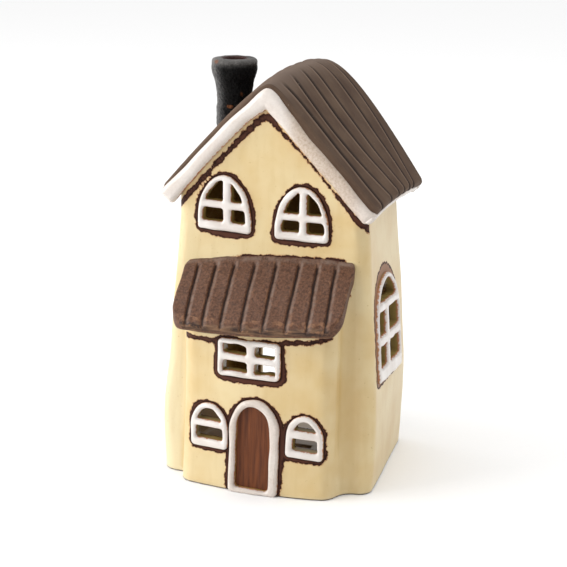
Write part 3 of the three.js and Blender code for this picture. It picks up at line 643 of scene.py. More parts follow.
# Painted shade: score peaks just behind each score, where the glaze is painted nearly black.
score = np.max([np.exp(-((gap - 1.6) / 1.35) ** 2) for gap in score_distances(x, y)], axis=0)
# ridge marks the roof's top, painted paler and greyer as a painted highlight.
brush(roof, bend=bend(roof_field, spots, 0.6), relief=board_relief(x, y),
      score=score * ease(np.abs(x), *SCORE_FADE), ridge=np.exp(-(x / 8) ** 2) * (y > ROOF_FRONT + 2))

# Roof glaze: an iron-brown matte glaze. It looks dry and even, painted nearly black in and just behind
# each score as painted shade, paler and greyer on the rims, rubbed there and with a painted highlight
# where they catch the light, paler and greyer along the ridge as a painted highlight, and has a few light
# crumbs.
glaze, tree, place, turn, relief, score, ridge = new_glaze(
    "matte_iron_brown_glaze", "bend", "relief", "score", "ridge")
cloud = add(tree, "TexNoise", {"Vector": place, "Scale": per_mm(14), "Detail": 4.0})
cloud = add(tree, "MapRange", (cloud, 0.35, 0.7))
colour = add(tree, "MixRGB", (cloud, linear("#4a3628"), linear("#5c4838")))
rub = add(tree, "MapRange", (turn, 0.2, 0.9, 0.0, 0.25))
# Rubbed rims, painted paler and greyer, partly as a painted highlight where they catch the light.
rim = add(tree, "MapRange", (relief, 0.05, 0.45, 0.0, 0.65))
# Painted highlight along the ridge.
top = add(tree, "MapRange", (ridge, 0.0, 1.0, 0.0, 0.42))
# Painted shade: nearly black in and just behind each score.
deep = add(tree, "MapRange", (score, 0.1, 0.9, 0.0, 0.88))
crumbs = add(tree, "TexNoise", {"Vector": place, "Scale": per_mm(0.9), "Detail": 1.0})
crumb = add(tree, "MapRange", (crumbs, 0.76, 0.8, 0.0, 0.5))
for amount, tint in ((rub, "#7d6858"), (rim, "#7b6656"), (top, "#857468"), (deep, "#1d130e"),
                     (crumb, "#938170")):
    colour = add(tree, "MixRGB", (amount, colour, linear(tint)))
grain = add(tree, "Bump", {"Height": crumbs, "Strength": 0.35, "Distance": 0.0002})
close(tree, {"Base Color": colour, "Roughness": 0.72, "Normal": grain, "IOR": 1.5,
             "Specular IOR Level": 0.25})
roof.data.materials.append(glaze)

# White boards.
# Rolled strips of clay pressed over the cut ends of the roof slabs, front and back, and along under both
# eaves. Rounded with a wet finger, with a thick white glaze that breaks to orange where it is thin.
BOARD_PROUD = 1.6
BOARD_SEAT = 3.2
BOARD_ROUND = 2.9
BOARD_REACH = 53.4
LEFT_TIP = 2.4
RIGHT_TIP = 0.2
# How far the boards' upper and lower edges lie below the roof's surface, at places across.
BOARD_PLACES = (-50, -40, -25, -10, -5, -1, 5, 10, 14, 50)
BOARD_TOPS = (0.6, 1.3, 1.4, 1.2, 0.8, 0.7, 0.8, 1.8, 2.2, 2.3)
BOARD_BOTTOMS = (9.3, 8.3, 7.9, 7.6, 8.4, 9.4, 9.7, 9.8, 9.8, 9.6)


def board_top(x):
    return np.interp(x, BOARD_PLACES, BOARD_TOPS)


def board_bottom(x):
    return np.interp(x, BOARD_PLACES, BOARD_BOTTOMS)


def below_fold(x, z, y):
    """Depth below the roof as if its ridge were a sharp fold: the boards' lower edges meet in a point."""
    fold = np.hypot(x, RIDGE_ROUND) - np.abs(x + 1.2 * np.exp(-np.abs(x) / 9))
    return below_roof(x, z, y) + PITCH * ROOF_SLANT * fold


def board_field(side):
    """The two boards of one gable end: side is -1 in front and 1 at the back."""
    edge = ROOF_FRONT if side < 0 else ROOF_BACK
    face = edge + side * BOARD_PROUD
    seat = edge - side * BOARD_SEAT

    def field(x, y, z):
        uneven = 0.25 * wander(x, z, 21, 6 + side)
        upper = board_top(x) - below_roof(x, z, edge) - uneven
        band = np.maximum(upper, below_fold(x, z, edge) - board_bottom(x) + uneven)
        tips = past_eave(x, edge, z) - np.where(x < 0, LEFT_TIP, RIGHT_TIP)
        band = common(band, np.maximum(tips, np.abs(x) - BOARD_REACH), 2.0)
        swell = 0.5 * wander(x, z, 26, 8 + side)
        band = common(band, (y - face) * side + 0.4 + 0.6 * swell, BOARD_ROUND)
        return np.maximum(band, (seat - y) * side)

    return field


# White glaze: a thick opaque white over buff clay, fired glossy. It reads as soft porcelain white, sandy
# where it was brushed thin, and creeps back to an orange-brown line round the foot of each strip. On the
# walls of the panes it is painted olive cream, a painted shade, and darker brown deeper in, more painted
# shade. It reads how deep it lies (mm) and how thin it is (0 to 1).
white_glaze, tree, place, deep, thin = new_glaze("thick_white_gloss_glaze", "deep", "thin")
cloud = add(tree, "TexNoise", {"Vector": place, "Scale": per_mm(9), "Detail": 3.0})
cloud = add(tree, "MapRange", (cloud, 0.35, 0.7))
colour = add(tree, "MixRGB", (cloud, linear("#e0dad5"), linear("#d3c9c1")))
speckle = add(tree, "TexNoise", {"Vector": place, "Scale": per_mm(1.1), "Detail": 3.0, "Roughness": 0.7})
speckle = add(tree, "MapRange", (speckle, 0.3, 0.62))
clay = add(tree, "MixRGB", (speckle, linear("#a38a74"), linear("#c4b29f")))
colour = add(tree, "MixRGB", (thin, colour, clay))
torn = add(tree, "TexNoise", {"Vector": place, "Scale": per_mm(1.5), "Detail": 3.0})
torn = add(tree, "MapRange", (torn, 0.3, 0.7, -0.5, 0.5))
ragged = add(tree, "Math", (deep, torn), operation="ADD")
broken = add(tree, "MapRange", (ragged, 0.8, 1.3, 0.0, 0.9))
# Painted shade: olive cream on the walls of the panes, and darker brown deeper in.
wall = add(tree, "MapRange", (ragged, 1.7, 2.1))
back = add(tree, "MapRange", (deep, 4.6, 6.2))
for amount, tint in ((broken, "#b06d3c"), (wall, "#97824c"), (back, "#6b5027")):
    colour = add(tree, "MixRGB", (amount, colour, linear(tint)))
dimples = add(tree, "TexNoise", {"Vector": place, "Scale": per_mm(2.5), "Detail": 2.0})
relief = add(tree, "Bump", {"Height": dimples, "Strength": 0.2, "Distance": 0.0004})
close(tree, {"Base Color": colour, "Roughness": 0.26, "Normal": relief, "IOR": 1.52})

for side, end, nodes in ((-1, "front", ("front_left_bargeboard", "front_right_bargeboard")),
                         (1, "back", ("back_left_bargeboard", "back_right_bargeboard"))):
    low_y, high_y = sorted((side * 35.0, side * 43.0))
    low, high = (-54.4, low_y, 118), (54.4, high_y, 194)
    boards, spots = cast(end + "_gable_boards", board_field(side), low, high, 0.7)
    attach(boards, "root")
    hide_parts(*nodes)
    x, y, z = spots.T
    edge = ROOF_FRONT if side < 0 else ROOF_BACK
    rim = np.minimum(below_roof(x, z, edge) - board_top(x), board_bottom(x) - below_fold(x, z, edge))
    worn = 0.25 + 0.6 * ease(x, 6, 16) * (1 - 0.7 * ease(x, 36, 48)) if side < 0 else 0.3
    brush(boards, deep=1.1 - rim * 1.5, thin=worn)
    boards.data.materials.append(white_glaze)

STRIP_TOP = 3.4
STRIP_BOTTOM = 8.0
STRIP_PROUD = 0.3
STRIP_INNER = 1.5
LEFT_STRIP_LAP = 2.5
# At the front end of the left and the right strip: how much prouder it is, and how far it passes the roof.
LEFT_STRIP_END = (0.2, 0.4)
RIGHT_STRIP_END = (0.9, 0.9)


def eave_field(side):
    """The strip pressed on the cut end of one slope: thick at the front, where it meets the board."""
    prouder, past_front = LEFT_STRIP_END if side < 0 else RIGHT_STRIP_END

    def field(x, y, z):
        depth = (roof_surface(x, y) - z) * ROOF_SLANT
        proud = STRIP_PROUD + prouder * np.exp(-(y - ROOF_FRONT) / 15) + 0.2 * wander(y, 0 * y, 19, 12)
        end = past_eave(x, y, z)
        strip = np.maximum(STRIP_TOP - depth, depth - STRIP_BOTTOM)
        inner = STRIP_INNER
        if side < 0:
            near_ends = ease(-y, -ROOF_FRONT - 3, -ROOF_FRONT) + ease(y, ROOF_BACK - 3, ROOF_BACK)
            inner = inner + LEFT_STRIP_LAP * near_ends
        strip = np.maximum(common(strip, end - proud, 1.6), np.maximum(-end - inner, -side * x))
        return common(strip, np.maximum(ROOF_FRONT - past_front - y, y - ROOF_BACK + 0.4), 1.2)

    return field


for side, name in ((-1, "left_eave_fascia"), (1, "right_eave_fascia")):
    low_x, high_x = sorted((side * 40.0, side * 54.0))
    low, high = (low_x, -41, 116), (high_x, 42, 142)
    strip, spots = cast(name + "_strip", eave_field(side), low, high, (0.5, 0.8, 0.5))
    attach(strip, "root")
    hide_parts(name)
    brush(strip, deep=0.2, thin=0.3)
    strip.data.materials.append(white_glaze)

# Lean-to roof.
# One thick tile of clay laid over the bay, cut into nine boards with a wooden tool whose strokes leave a
# steep left bank and a shallow right one, down to a rolled lip. It has a rubbed dark brown glaze.
LEAN_LENGTH = 36.6
CUT_DEPTH = 1.7
STEEP_BANK = 0.8
SHALLOW_BANK = 2.4
# Places across where each cut starts at the wall and ends at the lip.
LEAN_SCORES = ((-34.5, -32.1), (-25.4, -23.8), (-16.3, -15.0), (-6.3, -4.9), (4.2, 5.7), (15.3, 16.3),
               (23.9, 26.6), (32.4, 35.3))
LIP_STEP = 1.2
LIP_HEIGHT = 5.5
LIP_ANGLE = math.radians(14)
# How far in its left side lies at the wall, how much further at the lip, and how round its corners are.
LEFT_SIDE_IN = 0.5
LEFT_SIDE_TAPER = 1.7
LIP_CORNER = 7.5
WALL_CORNER = 5.0


def lean_cuts(x, out):
    """Signed distance across to each cut: below 0 on its steep left bank."""
    cuts = []
    for n, (top, lip) in enumerate(LEAN_SCORES):
        shake = 0.15 * wander(out * 36, 0 * x, 19, n) + 0.08 * wander(out * 36, 0 * x, 3.5, n + 9)
        cuts.append(x - top - (lip - top) * out + shake)
    return cuts


def lean_relief(x, y):
    """Height of the boards over the plain tile: 0 between the cuts and at the wall."""
    out = lean_out(y)
    relief = 0
    for gap in lean_cuts(x, out):
        left = np.clip(1 + gap / STEEP_BANK, 0, 1) * (gap <= 0)
        right = np.clip(1 - gap / SHALLOW_BANK, 0, 1) * (gap > 0)
        relief = np.minimum(relief, -CUT_DEPTH * (left + right) ** 1.2)
    return relief * ease(out * LEAN_LENGTH, 2.4, 4.6)


def lean_field(x, y, z):
    """One slab whose boards stop just short of its rolled lip: its sides and lip are cut upright."""
    uneven = 0.2 * wander(x, y + z, 15, 15) + 0.07 * wander(x, y + z, 4, 35)
    past_lip = (LEAN_LIP_Y - y) * math.cos(LIP_ANGLE) + (lean_lip(x) - z) * math.sin(LIP_ANGLE)
    ledge = LIP_STEP * ease(LEAN_LIP_Y - y + 0.25 * wander(x, 0 * x, 5, 37), -1.3, -0.7)
    over = (z - lean_surface(x, y) - lean_relief(x, y)) * LEAN_SLANT + uneven + ledge
    under = (lean_surface(x, y) - LEAN_THICKNESS / LEAN_SLANT - z) * LEAN_SLANT
    under = np.maximum(under, lean_lip(x) - LIP_HEIGHT - z + 0.2 * wander(x, 0 * x, 13, 38))
    out = np.clip(lean_out(y), 0, 1)
    sides = np.abs(x) - LEAN_HALF_WIDTH + (LEFT_SIDE_IN + LEFT_SIDE_TAPER * out) * (x < 0)
    sides = sides + 0.3 * wander(y, z, 18, 16)
    plan = common(sides, past_lip - 0.3 + 0.15 * wander(x, 0 * x, 17, 36), LIP_CORNER)
    plan = common(plan, y - LEAN_WALL_Y - 1.6, WALL_CORNER)
    slab = common(common(over, plan, 0.8), under, 1.3)
    return np.maximum(slab, y - LEAN_WALL_Y - 1.0)


lean_to, spots = cast("lean_to_tiles", lean_field, (-45, -63, 72), (45, -34, 113), (0.42, 0.55, 0.55))
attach(lean_to, "root")
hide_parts("lean_to_roof")
x, y, z = spots.T
out = lean_out(y)
# bank marks the shallow banks and the top strip, which are painted grey as a highlight.
bank = np.max([np.exp(-((gap - 1.5) / 0.75) ** 2) for gap in lean_cuts(x, out)], axis=0)
bank = np.maximum(bank, np.exp(-((out * LEAN_LENGTH - 1.6) / 1.3) ** 2))
over_edge = (z - lean_surface(x, y)) * LEAN_SLANT
brush(lean_to, bend=bend(lean_field, spots, 0.6), relief=np.where(over_edge > -2.2, lean_relief(x, y), 0),
      bank=bank * (over_edge > -2.5), out=out, lip=ease(LEAN_LIP_Y - y, -0.9, -0.5))

# Lean-to glaze: an iron-brown semi-matte glaze over a coppery slip. It shows mottled dark brown, a grey
# painted highlight on the shallow banks and along the top, painted shade nearly black at the bottom of
# the cuts, and copper where it was rubbed through near the lip.
glaze, tree, place, turn, relief, bank, out, lip = new_glaze(
    "rubbed_dark_brown_glaze", "bend", "relief", "bank", "out", "lip")
mottle = add(tree, "TexNoise", {"Vector": place, "Scale": per_mm(1.1), "Detail": 5.0, "Roughness": 0.75})
brown = add(tree, "MapRange", (mottle, 0.36, 0.66))
colour = add(tree, "MixRGB", (brown, linear("#3f2618"), linear("#714c36")))
# Painted highlight: noisy grey on the shallow banks and the top strip, where the light falls.
bank_highlight = add(tree, "TexNoise", {"Vector": place, "Scale": per_mm(4), "Detail": 5.0, "Roughness": 0.7})
bank_highlight = add(tree, "MapRange", (bank_highlight, 0.34, 0.6, 0.0, 0.8))
bank_highlight = add(tree, "Math", (bank_highlight, bank), operation="MULTIPLY")
colour = add(tree, "MixRGB", (bank_highlight, colour, linear("#7b675b")))
along = add(tree, "Mapping", {"Vector": place, "Scale": (0.16, 1.0, 1.0)})
streak = add(tree, "TexNoise", {"Vector": along, "Scale": per_mm(1.6), "Detail": 3.0})
streak = add(tree, "MapRange", (streak, 0.38, 0.64))
streak = add(tree, "MixRGB", (streak, linear("#2f1b10"), linear("#75563d")))
colour = add(tree, "MixRGB", (lip, colour, streak))
worn = add(tree, "TexNoise", {"Vector": place, "Scale": per_mm(4.2), "Detail": 8.0, "Roughness": 0.75})
ridge = add(tree, "MapRange", (turn, 0.0, 1.2, 0.0, 0.12))
low = add(tree, "MapRange", (out, 0.2, 0.95, 0.0, 0.03))
rub = add(tree, "Math", (worn, ridge), operation="ADD")
rub = add(tree, "Math", (rub, low), operation="ADD")
rub = add(tree, "MapRange", (rub, 0.63, 0.75, 0.0, 0.75))
colour = add(tree, "MixRGB", (rub, colour, linear("#8a6143")))
# Painted shade: the bottom of each cut is painted nearly black.
deep = add(tree, "MapRange", (relief, -0.8, -1.5, 0.0, 0.9))
colour = add(tree, "MixRGB", (deep, colour, linear("#170c07")))
grain = add(tree, "Bump", {"Height": mottle, "Strength": 0.6, "Distance": 0.0004})
close(tree, {"Base Color": colour, "Roughness": 0.5, "Normal": grain, "IOR": 1.5,
             "Specular IOR Level": 0.3})
lean_to.data.materials.append(glaze)

# Chimney.
# A thrown or rolled tube set upright on the left slope, its rim folded out and pinched by hand, left rough
# with grog. A charcoal glaze covers it, burnt through to rust at a few spots.
CHIMNEY_TOP = 194.5
CHIMNEY_NECK = 8.6
CHIMNEY_RIM = 10.8
RIM_ROUND = 2.0
# Spots burnt through to rust: their place, half their height, and their strength.
RUST_SPOTS = ((-38.3, -5.3, 193.4, 1.2, 1.0), (-31.4, -4.8, 172.3, 0.9, 1.1),
              (-26.6, -2.6, 178.3, 2.6, 0.55), (-24.5, 1.5, 193.9, 1.0, 0.7))
SPOT_REACH = 1.6


def chimney_field(x, y, z):
    """The tube, which flares to its rim and widens a little at its foot, down into the slope."""
    turn = np.arctan2(y - CHIMNEY_Y, x - CHIMNEY_X)
    reach = flue_reach(x, y)
    flare = (CHIMNEY_RIM - CHIMNEY_NECK) * ease(z, 180.0, 189.0)
    foot = 0.5 * ease(-z, -165, -145)
    around = np.cos(turn) * CHIMNEY_NECK
    lumps = 0.3 * wander(around, z, 12, 18) + 0.17 * wander(around + y, z, 4.5, 19)
    lumps = lumps + 0.1 * wander(around + y, z + x, 2.1, 20) + 0.06 * wander(around - y, z - x, 1.3, 40)
    wall = reach - CHIMNEY_NECK - flare - foot + lumps
    tube = common(wall, z - CHIMNEY_TOP + 0.15 + 0.12 * wander(x, y, 7, 21), RIM_ROUND)
    tube = common(tube, FLUE_RADIUS - reach + 0.15 * wander(turn * 5, z, 8, 22), 0.8)
    return np.maximum(tube, (roof_underside(x, y) + 2 - z) * ROOF_SLANT)


chimney, spots = cast("chimney_pot", chimney_field, (-45, -9, 134), (-20, 17, 196), 0.55)
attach(chimney, "root")
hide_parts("chimney")
x, y, z = spots.T
reach = flue_reach(x, y)
# Painted shade: the right and back sides, away from the key light, are painted near black.
soot = ease(x - 0.6 * y + 33.5, -5, 4) * (1 - 0.7 * ease(z, 190, 193.5))
rust = 0
for spot_x, spot_y, spot_z, tall, strength in RUST_SPOTS:
    away = ((x - spot_x) / SPOT_REACH) ** 2 + ((y - spot_y) / SPOT_REACH) ** 2 + ((z - spot_z) / tall) ** 2
    rust = rust + strength * np.exp(-away)
# depth marks the flue below its rim, painted nearly black as shade.
brush(chimney, soot=np.maximum(soot, 0.6 * ease(y - CHIMNEY_Y, -2, 5)), top=ease(z, 190, 193.5), rust=rust,
      bore=FLUE_RADIUS + 0.9 - reach, depth=ease(CHIMNEY_TOP - z, 1.5, 4.0) * (reach < FLUE_RADIUS + 1.2))

# Charcoal glaze: a black glaze, half matte, over grogged clay. Grit makes it rough with tiny glints, and
# rust shows at the mouth and in small burnt spots. Its right and back sides are painted near black with
# less sheen as painted shade, its top paler as a painted highlight, and its flue nearly black below the
# rim as painted shade.
glaze, tree, place, soot, top, spot, bore, depth = new_glaze(
    "charcoal_glaze_over_grog", "soot", "top", "rust", "bore", "depth")
grit = add(tree, "TexNoise", {"Vector": place, "Scale": per_mm(1.1), "Detail": 3.0, "Roughness": 0.7})
gravel = add(tree, "MapRange", (grit, 0.42, 0.64))
colour = add(tree, "MixRGB", (gravel, linear("#1a1918"), linear("#686461")))
# Painted highlight: the top is painted paler, where light from above falls on it.
top_highlight = add(tree, "Math", (top, 0.4), operation="MULTIPLY")
black = add(tree, "Math", (soot, 0.93), operation="MULTIPLY")
shine = add(tree, "MapRange", (soot, 0.0, 1.0, 0.6, 0.06))
burnt = add(tree, "TexNoise", {"Vector": place, "Scale": per_mm(2.2), "Detail": 5.0, "Roughness": 0.7})
burnt = add(tree, "Math", (burnt, spot), operation="ADD")
rust = add(tree, "MapRange", (burnt, 0.85, 1.15, 0.0, 0.8))
mouth = add(tree, "MapRange", (bore, -0.6, 0.4, 0.0, 0.85))
# Painted highlight on the top; painted shade on the right and back sides and down the flue; rust is the
# glaze's own.
for amount, tint in ((top_highlight, "#8d8883"), (black, "#050404"), (rust, "#7a4a2c"), (mouth, "#43190f"),
                     (depth, "#120806")):
    colour = add(tree, "MixRGB", (amount, colour, linear(tint)))
grain = add(tree, "Bump", {"Height": grit, "Strength": 1.0, "Distance": 0.0016})
close(tree, {"Base Color": colour, "Roughness": 0.36, "Normal": grain, "IOR": 1.5,
             "Specular IOR Level": shine})
chimney.data.materials.append(glaze)

# Door.
# An arched strip of clay pressed round the doorway and along its threshold, and inside it a plank of clay
# set a little back. The strip is glazed white, the plank brushed downwards with a red-brown glaze.
SURROUND_STRIP = 3.7
SURROUND_PROUD = 2.2
THRESHOLD = 2.2
DOOR_RECESS = 1.0
DOOR_TUCK = 1.4


def doorway(x, z, inset=0.0, threshold=0.0):
    """Distance to the leaning doorway, drawn in by the inset and cut off over the threshold."""
    middle, sill, half, height, crown, _ = DOORWAY
    across = x - middle - DOOR_LEAN * (z - DOOR_LEAN_FROM) + 0.16 * inset
    return arch(across, z - sill - threshold, half - inset, height - inset - threshold, crown - inset)


def surround_field(x, y, z):
    out = bay_face(x, z) - y
    strip = np.maximum(doorway(x, z), -doorway(x, z, SURROUND_STRIP, THRESHOLD))
    strip = strip + 0.25 * wander(x, z, 12, 24)
    face = out - SURROUND_PROUD + 0.2 * wander(x, z, 17, 25)
    return np.maximum(common(strip, face, 1.7), -out - 3.5)


def door_field(x, y, z):
    out = bay_face(x, z) - y
    planks = 0.07 * wander(x, z * 0.12, 1.7, 26) + 0.1 * wander(x, z * 0.3, 7, 27)
    outline = doorway(x, z, SURROUND_STRIP - DOOR_TUCK, THRESHOLD - 1.0)
    return np.maximum(common(outline, out + DOOR_RECESS + planks, 1.0), -out - 4.0)


surround, spots = cast("door_surround_strip", surround_field, (-13.5, -59, -1), (14.5, -47, 49), 0.45)
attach(surround, "root")
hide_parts("door_surround")
x, y, z = spots.T
brush(surround, deep=SURROUND_PROUD - 0.6 - bay_face(x, z) + y, thin=0.35)
surround.data.materials.append(white_glaze)
door, spots = cast("door_plank", door_field, (-12, -57, 0), (13, -47, 45), 0.5)
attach(door, "root")
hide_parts("door_panel")

# Door glaze: a red-brown iron glaze, brushed on downwards. The hairs leave fine upright streaks of darker
# and lighter brown in a low sheen.
glaze, tree, place = new_glaze("brushed_red_brown_glaze")
tall = add(tree, "Mapping", {"Vector": place, "Scale": (1.0, 1.0, 0.05)})
hairs = add(tree, "TexNoise", {"Vector": tall, "Scale": per_mm(1.4), "Detail": 5.0, "Roughness": 0.6})
colour = add(tree, "MapRange", (hairs, 0.32, 0.7))
colour = add(tree, "MixRGB", (colour, linear("#4a2410"), linear("#743f1f")))
grain = add(tree, "Bump", {"Height": hairs, "Strength": 0.3, "Distance": 0.0003})
close(tree, {"Base Color": colour, "Roughness": 0.5, "Normal": grain, "IOR": 1.5,
             "Specular IOR Level": 0.25})
door.data.materials.append(glaze)

# Windows.
# Flat rings and bars of clay pressed on round each pierced opening, their panes cut through the wall with
# a knife and sponged round. White glaze lies thick on the front and thins out into the panes.
FRAME_PROUD = 1.8
FRAME_ROUND = 1.5
UPPER_STOREY = 100
# For each window in front: width of its ring, how much wider that is on the left and narrower on the
# right, width of its foot, and its bars: middle and width of the upright one, then of the level ones.
GLAZING = {
    "upper_left_window": (2.6, -0.3, 4.2, (-20.7, 3.9), ((131.9, 3.5),)),
    "upper_right_window": (2.7, 0.7, 3.7, (16.2, 3.5), ((129.0, 3.3),)),
    "lower_left_window": (2.7, 0.0, 4.0, None, ((31.1, 3.3),)),
    "lower_right_window": (2.9, 0.3, 3.6, None, ((31.2, 3.9),)),
}
# The centre window: its ring, the middle and half the width of its bars, how the level one slopes and how
# the upright one tapers.
CENTRE_STRIP = 2.6
CENTRE_UPRIGHT = (-1.7, 1.9)
CENTRE_LEVEL = (65.2, 1.7)
CENTRE_SLOPE = 0.028
CENTRE_TAPER = 0.03
# The side windows: their ring, the middle and width of their bars, the lower edge of their panes, and both
# edges of the broad bar under the moon.
SIDE_STRIP = 2.6
SIDE_UPRIGHT = (-7.6, 5.0)
SIDE_LEVEL = (67.9, 4.7)
SIDE_PANE_FOOT = 55.2
SIDE_TRANSOM = (81.7, 85.9)


def cut_panes(outline, across, up, strip, upright, levels):
    """Distance to the panes inside a frame, negative inside one."""
    pane = outline + strip
    if upright:
        pane = common(pane, upright[1] / 2 - np.abs(across - upright[0]), 1.0)
    for middle, width in levels:
        pane = common(pane, width / 2 - np.abs(up - middle), 1.0)
    return pane


def frame_field(window):
    """Field of one front window's frame, and how far places lie in front of the wall that it is on."""
    middle, sill, half, height, crown, tilt, _ = FRONT_WINDOWS[window]
    strip, askew, foot, upright, levels = GLAZING[window]

    def flat(x, z):
        up = z + tilt * (x - middle)
        outline = arch(x - middle, up - sill, half, height, crown) + 0.2 * wander(x, z, 11, middle)
        uneven = 0.3 * wander(x, z, 7, middle + 2) - askew * np.clip((x - middle) / half, -1, 1)
        panes = cut_panes(outline + uneven, x, up, strip, upright, levels)
        return np.maximum(outline, -common(panes, sill + foot - up, 1.3))

    def out(x, y, z):
        return (wall_front(z) if sill > UPPER_STOREY else bay_face(x, z)) - y

    def field(x, y, z):
        face = out(x, y, z) - FRAME_PROUD + 0.2 * wander(x, z, 9, middle + 1)
        return np.maximum(common(flat(x, z), face, FRAME_ROUND), -out(x, y, z) - WALL)

    return field, out


def centre_flat(x, z):
    middle, sill, half, height, _ = CENTRE_WINDOW
    outline = box_outline(x - middle, z - sill, half, height, CENTRE_CORNER) + 0.2 * wander(x, z, 11, 31)
    fall = CENTRE_SLOPE * (x - middle)
    bar = CENTRE_LEVEL[1] - np.abs(z - CENTRE_LEVEL[0] + fall) - 0.3 * fall
    panes = outline + CENTRE_STRIP + 0.35 * wander(x, z, 8, 39)
    upright = CENTRE_UPRIGHT[1] - CENTRE_TAPER * (65 - z) - np.abs(x - CENTRE_UPRIGHT[0])
    panes = common(panes, upright, 1.2)
    return np.maximum(outline, -common(panes, bar, 1.2))


def centre_field(x, y, z):
    out = bay_face(x, z) - y
    face = out - FRAME_PROUD + 0.2 * wander(x, z, 9, 32)
    return np.maximum(common(centre_flat(x, z), face, FRAME_ROUND), -out - WALL)


def side_field(side):
    def field(x, y, z):
        outline = side_outline(y, z) + 0.25 * wander(y, z, 13, 33)
        up = side_up(y, z) + 0.3 * wander(y, z, 9, 34)
        low = cut_panes(outline, y, up, SIDE_STRIP, SIDE_UPRIGHT, (SIDE_LEVEL,))
        low = common(low, np.maximum(up - SIDE_TRANSOM[0], SIDE_PANE_FOOT - up), 1.0)
        moon = common(outline + SIDE_STRIP - 0.1, SIDE_TRANSOM[1] - up, 1.0)
        flat = np.maximum(outline, -np.minimum(low, moon))
        out = side * x - wall_side(y, z)
        return np.maximum(common(flat, out - FRAME_PROUD + 0.1, FRAME_ROUND), -out - WALL)

    return field


frames = []
for window, (middle, sill, half, height, *_) in FRONT_WINDOWS.items():
    field, out = frame_field(window)
    low_y, high_y = (-40, -28) if sill > UPPER_STOREY else (-58, -44)
    low, high = (middle - half - 1, low_y, sill - 2), (middle + half + 1, high_y, sill + height + 2)
    frame_piece, spots = cast(window + "_frame", field, low, high, 0.42)
    frames.append((frame_piece, window, out(*spots.T)))
middle, sill, half, height, _ = CENTRE_WINDOW
low, high = (middle - half - 1, -58, sill - 1), (middle + half + 1, -46, sill + height + 1)
frame_piece, spots = cast("centre_window_frame", centre_field, low, high, 0.42)
x, y, z = spots.T
frames.append((frame_piece, "centre_window", bay_face(x, z) - y))
for side, window in ((-1, "left_side_window"), (1, "right_side_window")):
    middle, sill, half, height = SIDE_WINDOW[:4]
    low_x, high_x = sorted((side * 40.0, side * 54.0))
    low, high = (low_x, middle - half - 1, sill - 4), (high_x, middle + half + 1, sill + height + 4)
    frame_piece, spots = cast(window + "_frame", side_field(side), low, high, 0.5)
    x, y, z = spots.T
    frames.append((frame_piece, window, side * x - wall_side(y, z)))
for frame_piece, window, out in frames:
    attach(frame_piece, "root")
    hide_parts(window)
    brush(frame_piece, deep=FRAME_PROUD - out, thin=0.0)
    frame_piece.data.materials.append(white_glaze)

# Table, lights and camera.
# A white sweep of paper under a large soft light from the front left, weaker ones from the left and the
# back right, and white surroundings. The camera looks down a little from the right, through a long lens.
SWEEP_HALF = 4.0
sweep = bpy.data.meshes.new("white_sweep")
corners = [(SWEEP_HALF * across, SWEEP_HALF * along, 0.0)
           for across, along in ((-1, -1), (1, -1), (1, 1), (-1, 1))]
sweep.from_pydata(corners, [], [(0, 1, 2, 3)])
sweep = bpy.data.objects.new("white_sweep", sweep)
bpy.context.scene.collection.objects.link(sweep)
paper, tree, place = new_glaze("white_paper")
fibres = add(tree, "TexNoise", {"Vector": place, "Scale": per_mm(3), "Detail": 4.0})
colour = add(tree, "MixRGB", (fibres, linear("#fbfbfb"), linear("#f8f8f8")))
close(tree, {"Base Color": colour, "Roughness": 0.9})
sweep.data.materials.append(paper)

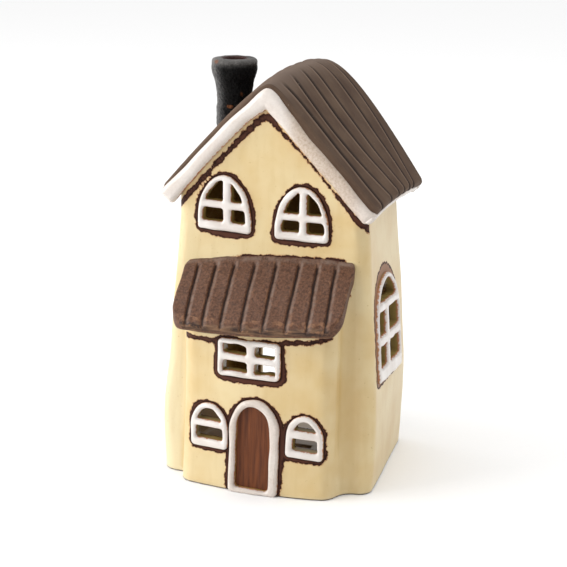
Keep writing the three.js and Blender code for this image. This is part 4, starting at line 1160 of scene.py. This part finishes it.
scene = bpy.context.scene
world = bpy.data.worlds.new("white_room")
world.use_nodes = True
room = world.node_tree
direction = add(room, "TexCoord", {}, out="Generated")
height = add(room, "SeparateXYZ", {"Vector": direction}, out="Z")
height = add(room, "MapRange", (height, 0.0, 1.0, 0.12, 1.42))
room.links.new(height, room.nodes["Background"].inputs["Strength"])
room.nodes["Background"].inputs["Color"].default_value = (1.0, 1.0, 1.0, 1.0)
scene.world = world
scene.view_settings.view_transform = "Standard"
AIM_HEIGHT = 0.09


def soft_light(name, azimuth, elevation, distance, size, watts):
    """A square softbox that faces the house: azimuth 0 is in front, above 0 to the right."""
    lamp = bpy.data.lights.new(name, "AREA")
    lamp.size = size
    lamp.energy = watts
    holder = bpy.data.objects.new(name, lamp)
    scene.collection.objects.link(holder)
    a, e = math.radians(azimuth), math.radians(elevation)
    back = Matrix(((math.cos(a), -math.sin(a) * math.sin(e), math.sin(a) * math.cos(e)),
                   (math.sin(a), math.cos(a) * math.sin(e), -math.cos(a) * math.cos(e)),
                   (0.0, math.cos(e), math.sin(e))))
    holder.matrix_world = back.to_4x4()
    holder.location = back.col[2] * distance
    holder.location.z += AIM_HEIGHT


soft_light("key_softbox", -60, 15, 1.3, 0.8, 13.5)
soft_light("left_softbox", -95, 30, 1.4, 0.8, 2.2)
soft_light("back_right_softbox", 120, 30, 1.4, 0.8, 2.9)

CAMERA_AZIMUTH = math.radians(19.13)
CAMERA_ELEVATION = math.radians(15.66)
CAMERA_ROLL = math.radians(0.61)
CAMERA_DISTANCE = 0.77604
CAMERA_TARGET = (-0.00531, 0.0, 0.08671)
FOCAL_PIXELS = 1598.12
IMAGE_PIXELS = 567
lens = bpy.data.cameras.new("camera")
lens.sensor_width = 36.0
lens.lens = 36.0 * FOCAL_PIXELS / IMAGE_PIXELS
lens.clip_start = 0.01
lens.clip_end = 20.0
camera = bpy.data.objects.new("camera", lens)
scene.collection.objects.link(camera)
a, e, r = CAMERA_AZIMUTH, CAMERA_ELEVATION, CAMERA_ROLL
back = np.array([math.sin(a) * math.cos(e), -math.cos(a) * math.cos(e), math.sin(e)])
right = np.array([math.cos(a), math.sin(a), 0.0])
up = np.cross(back, right)
right, up = math.cos(r) * right + math.sin(r) * up, -math.sin(r) * right + math.cos(r) * up
view = Matrix(np.column_stack([right, up, back]).tolist()).to_4x4()
view.translation = np.array(CAMERA_TARGET) + back * CAMERA_DISTANCE
camera.matrix_world = view
scene.camera = camera
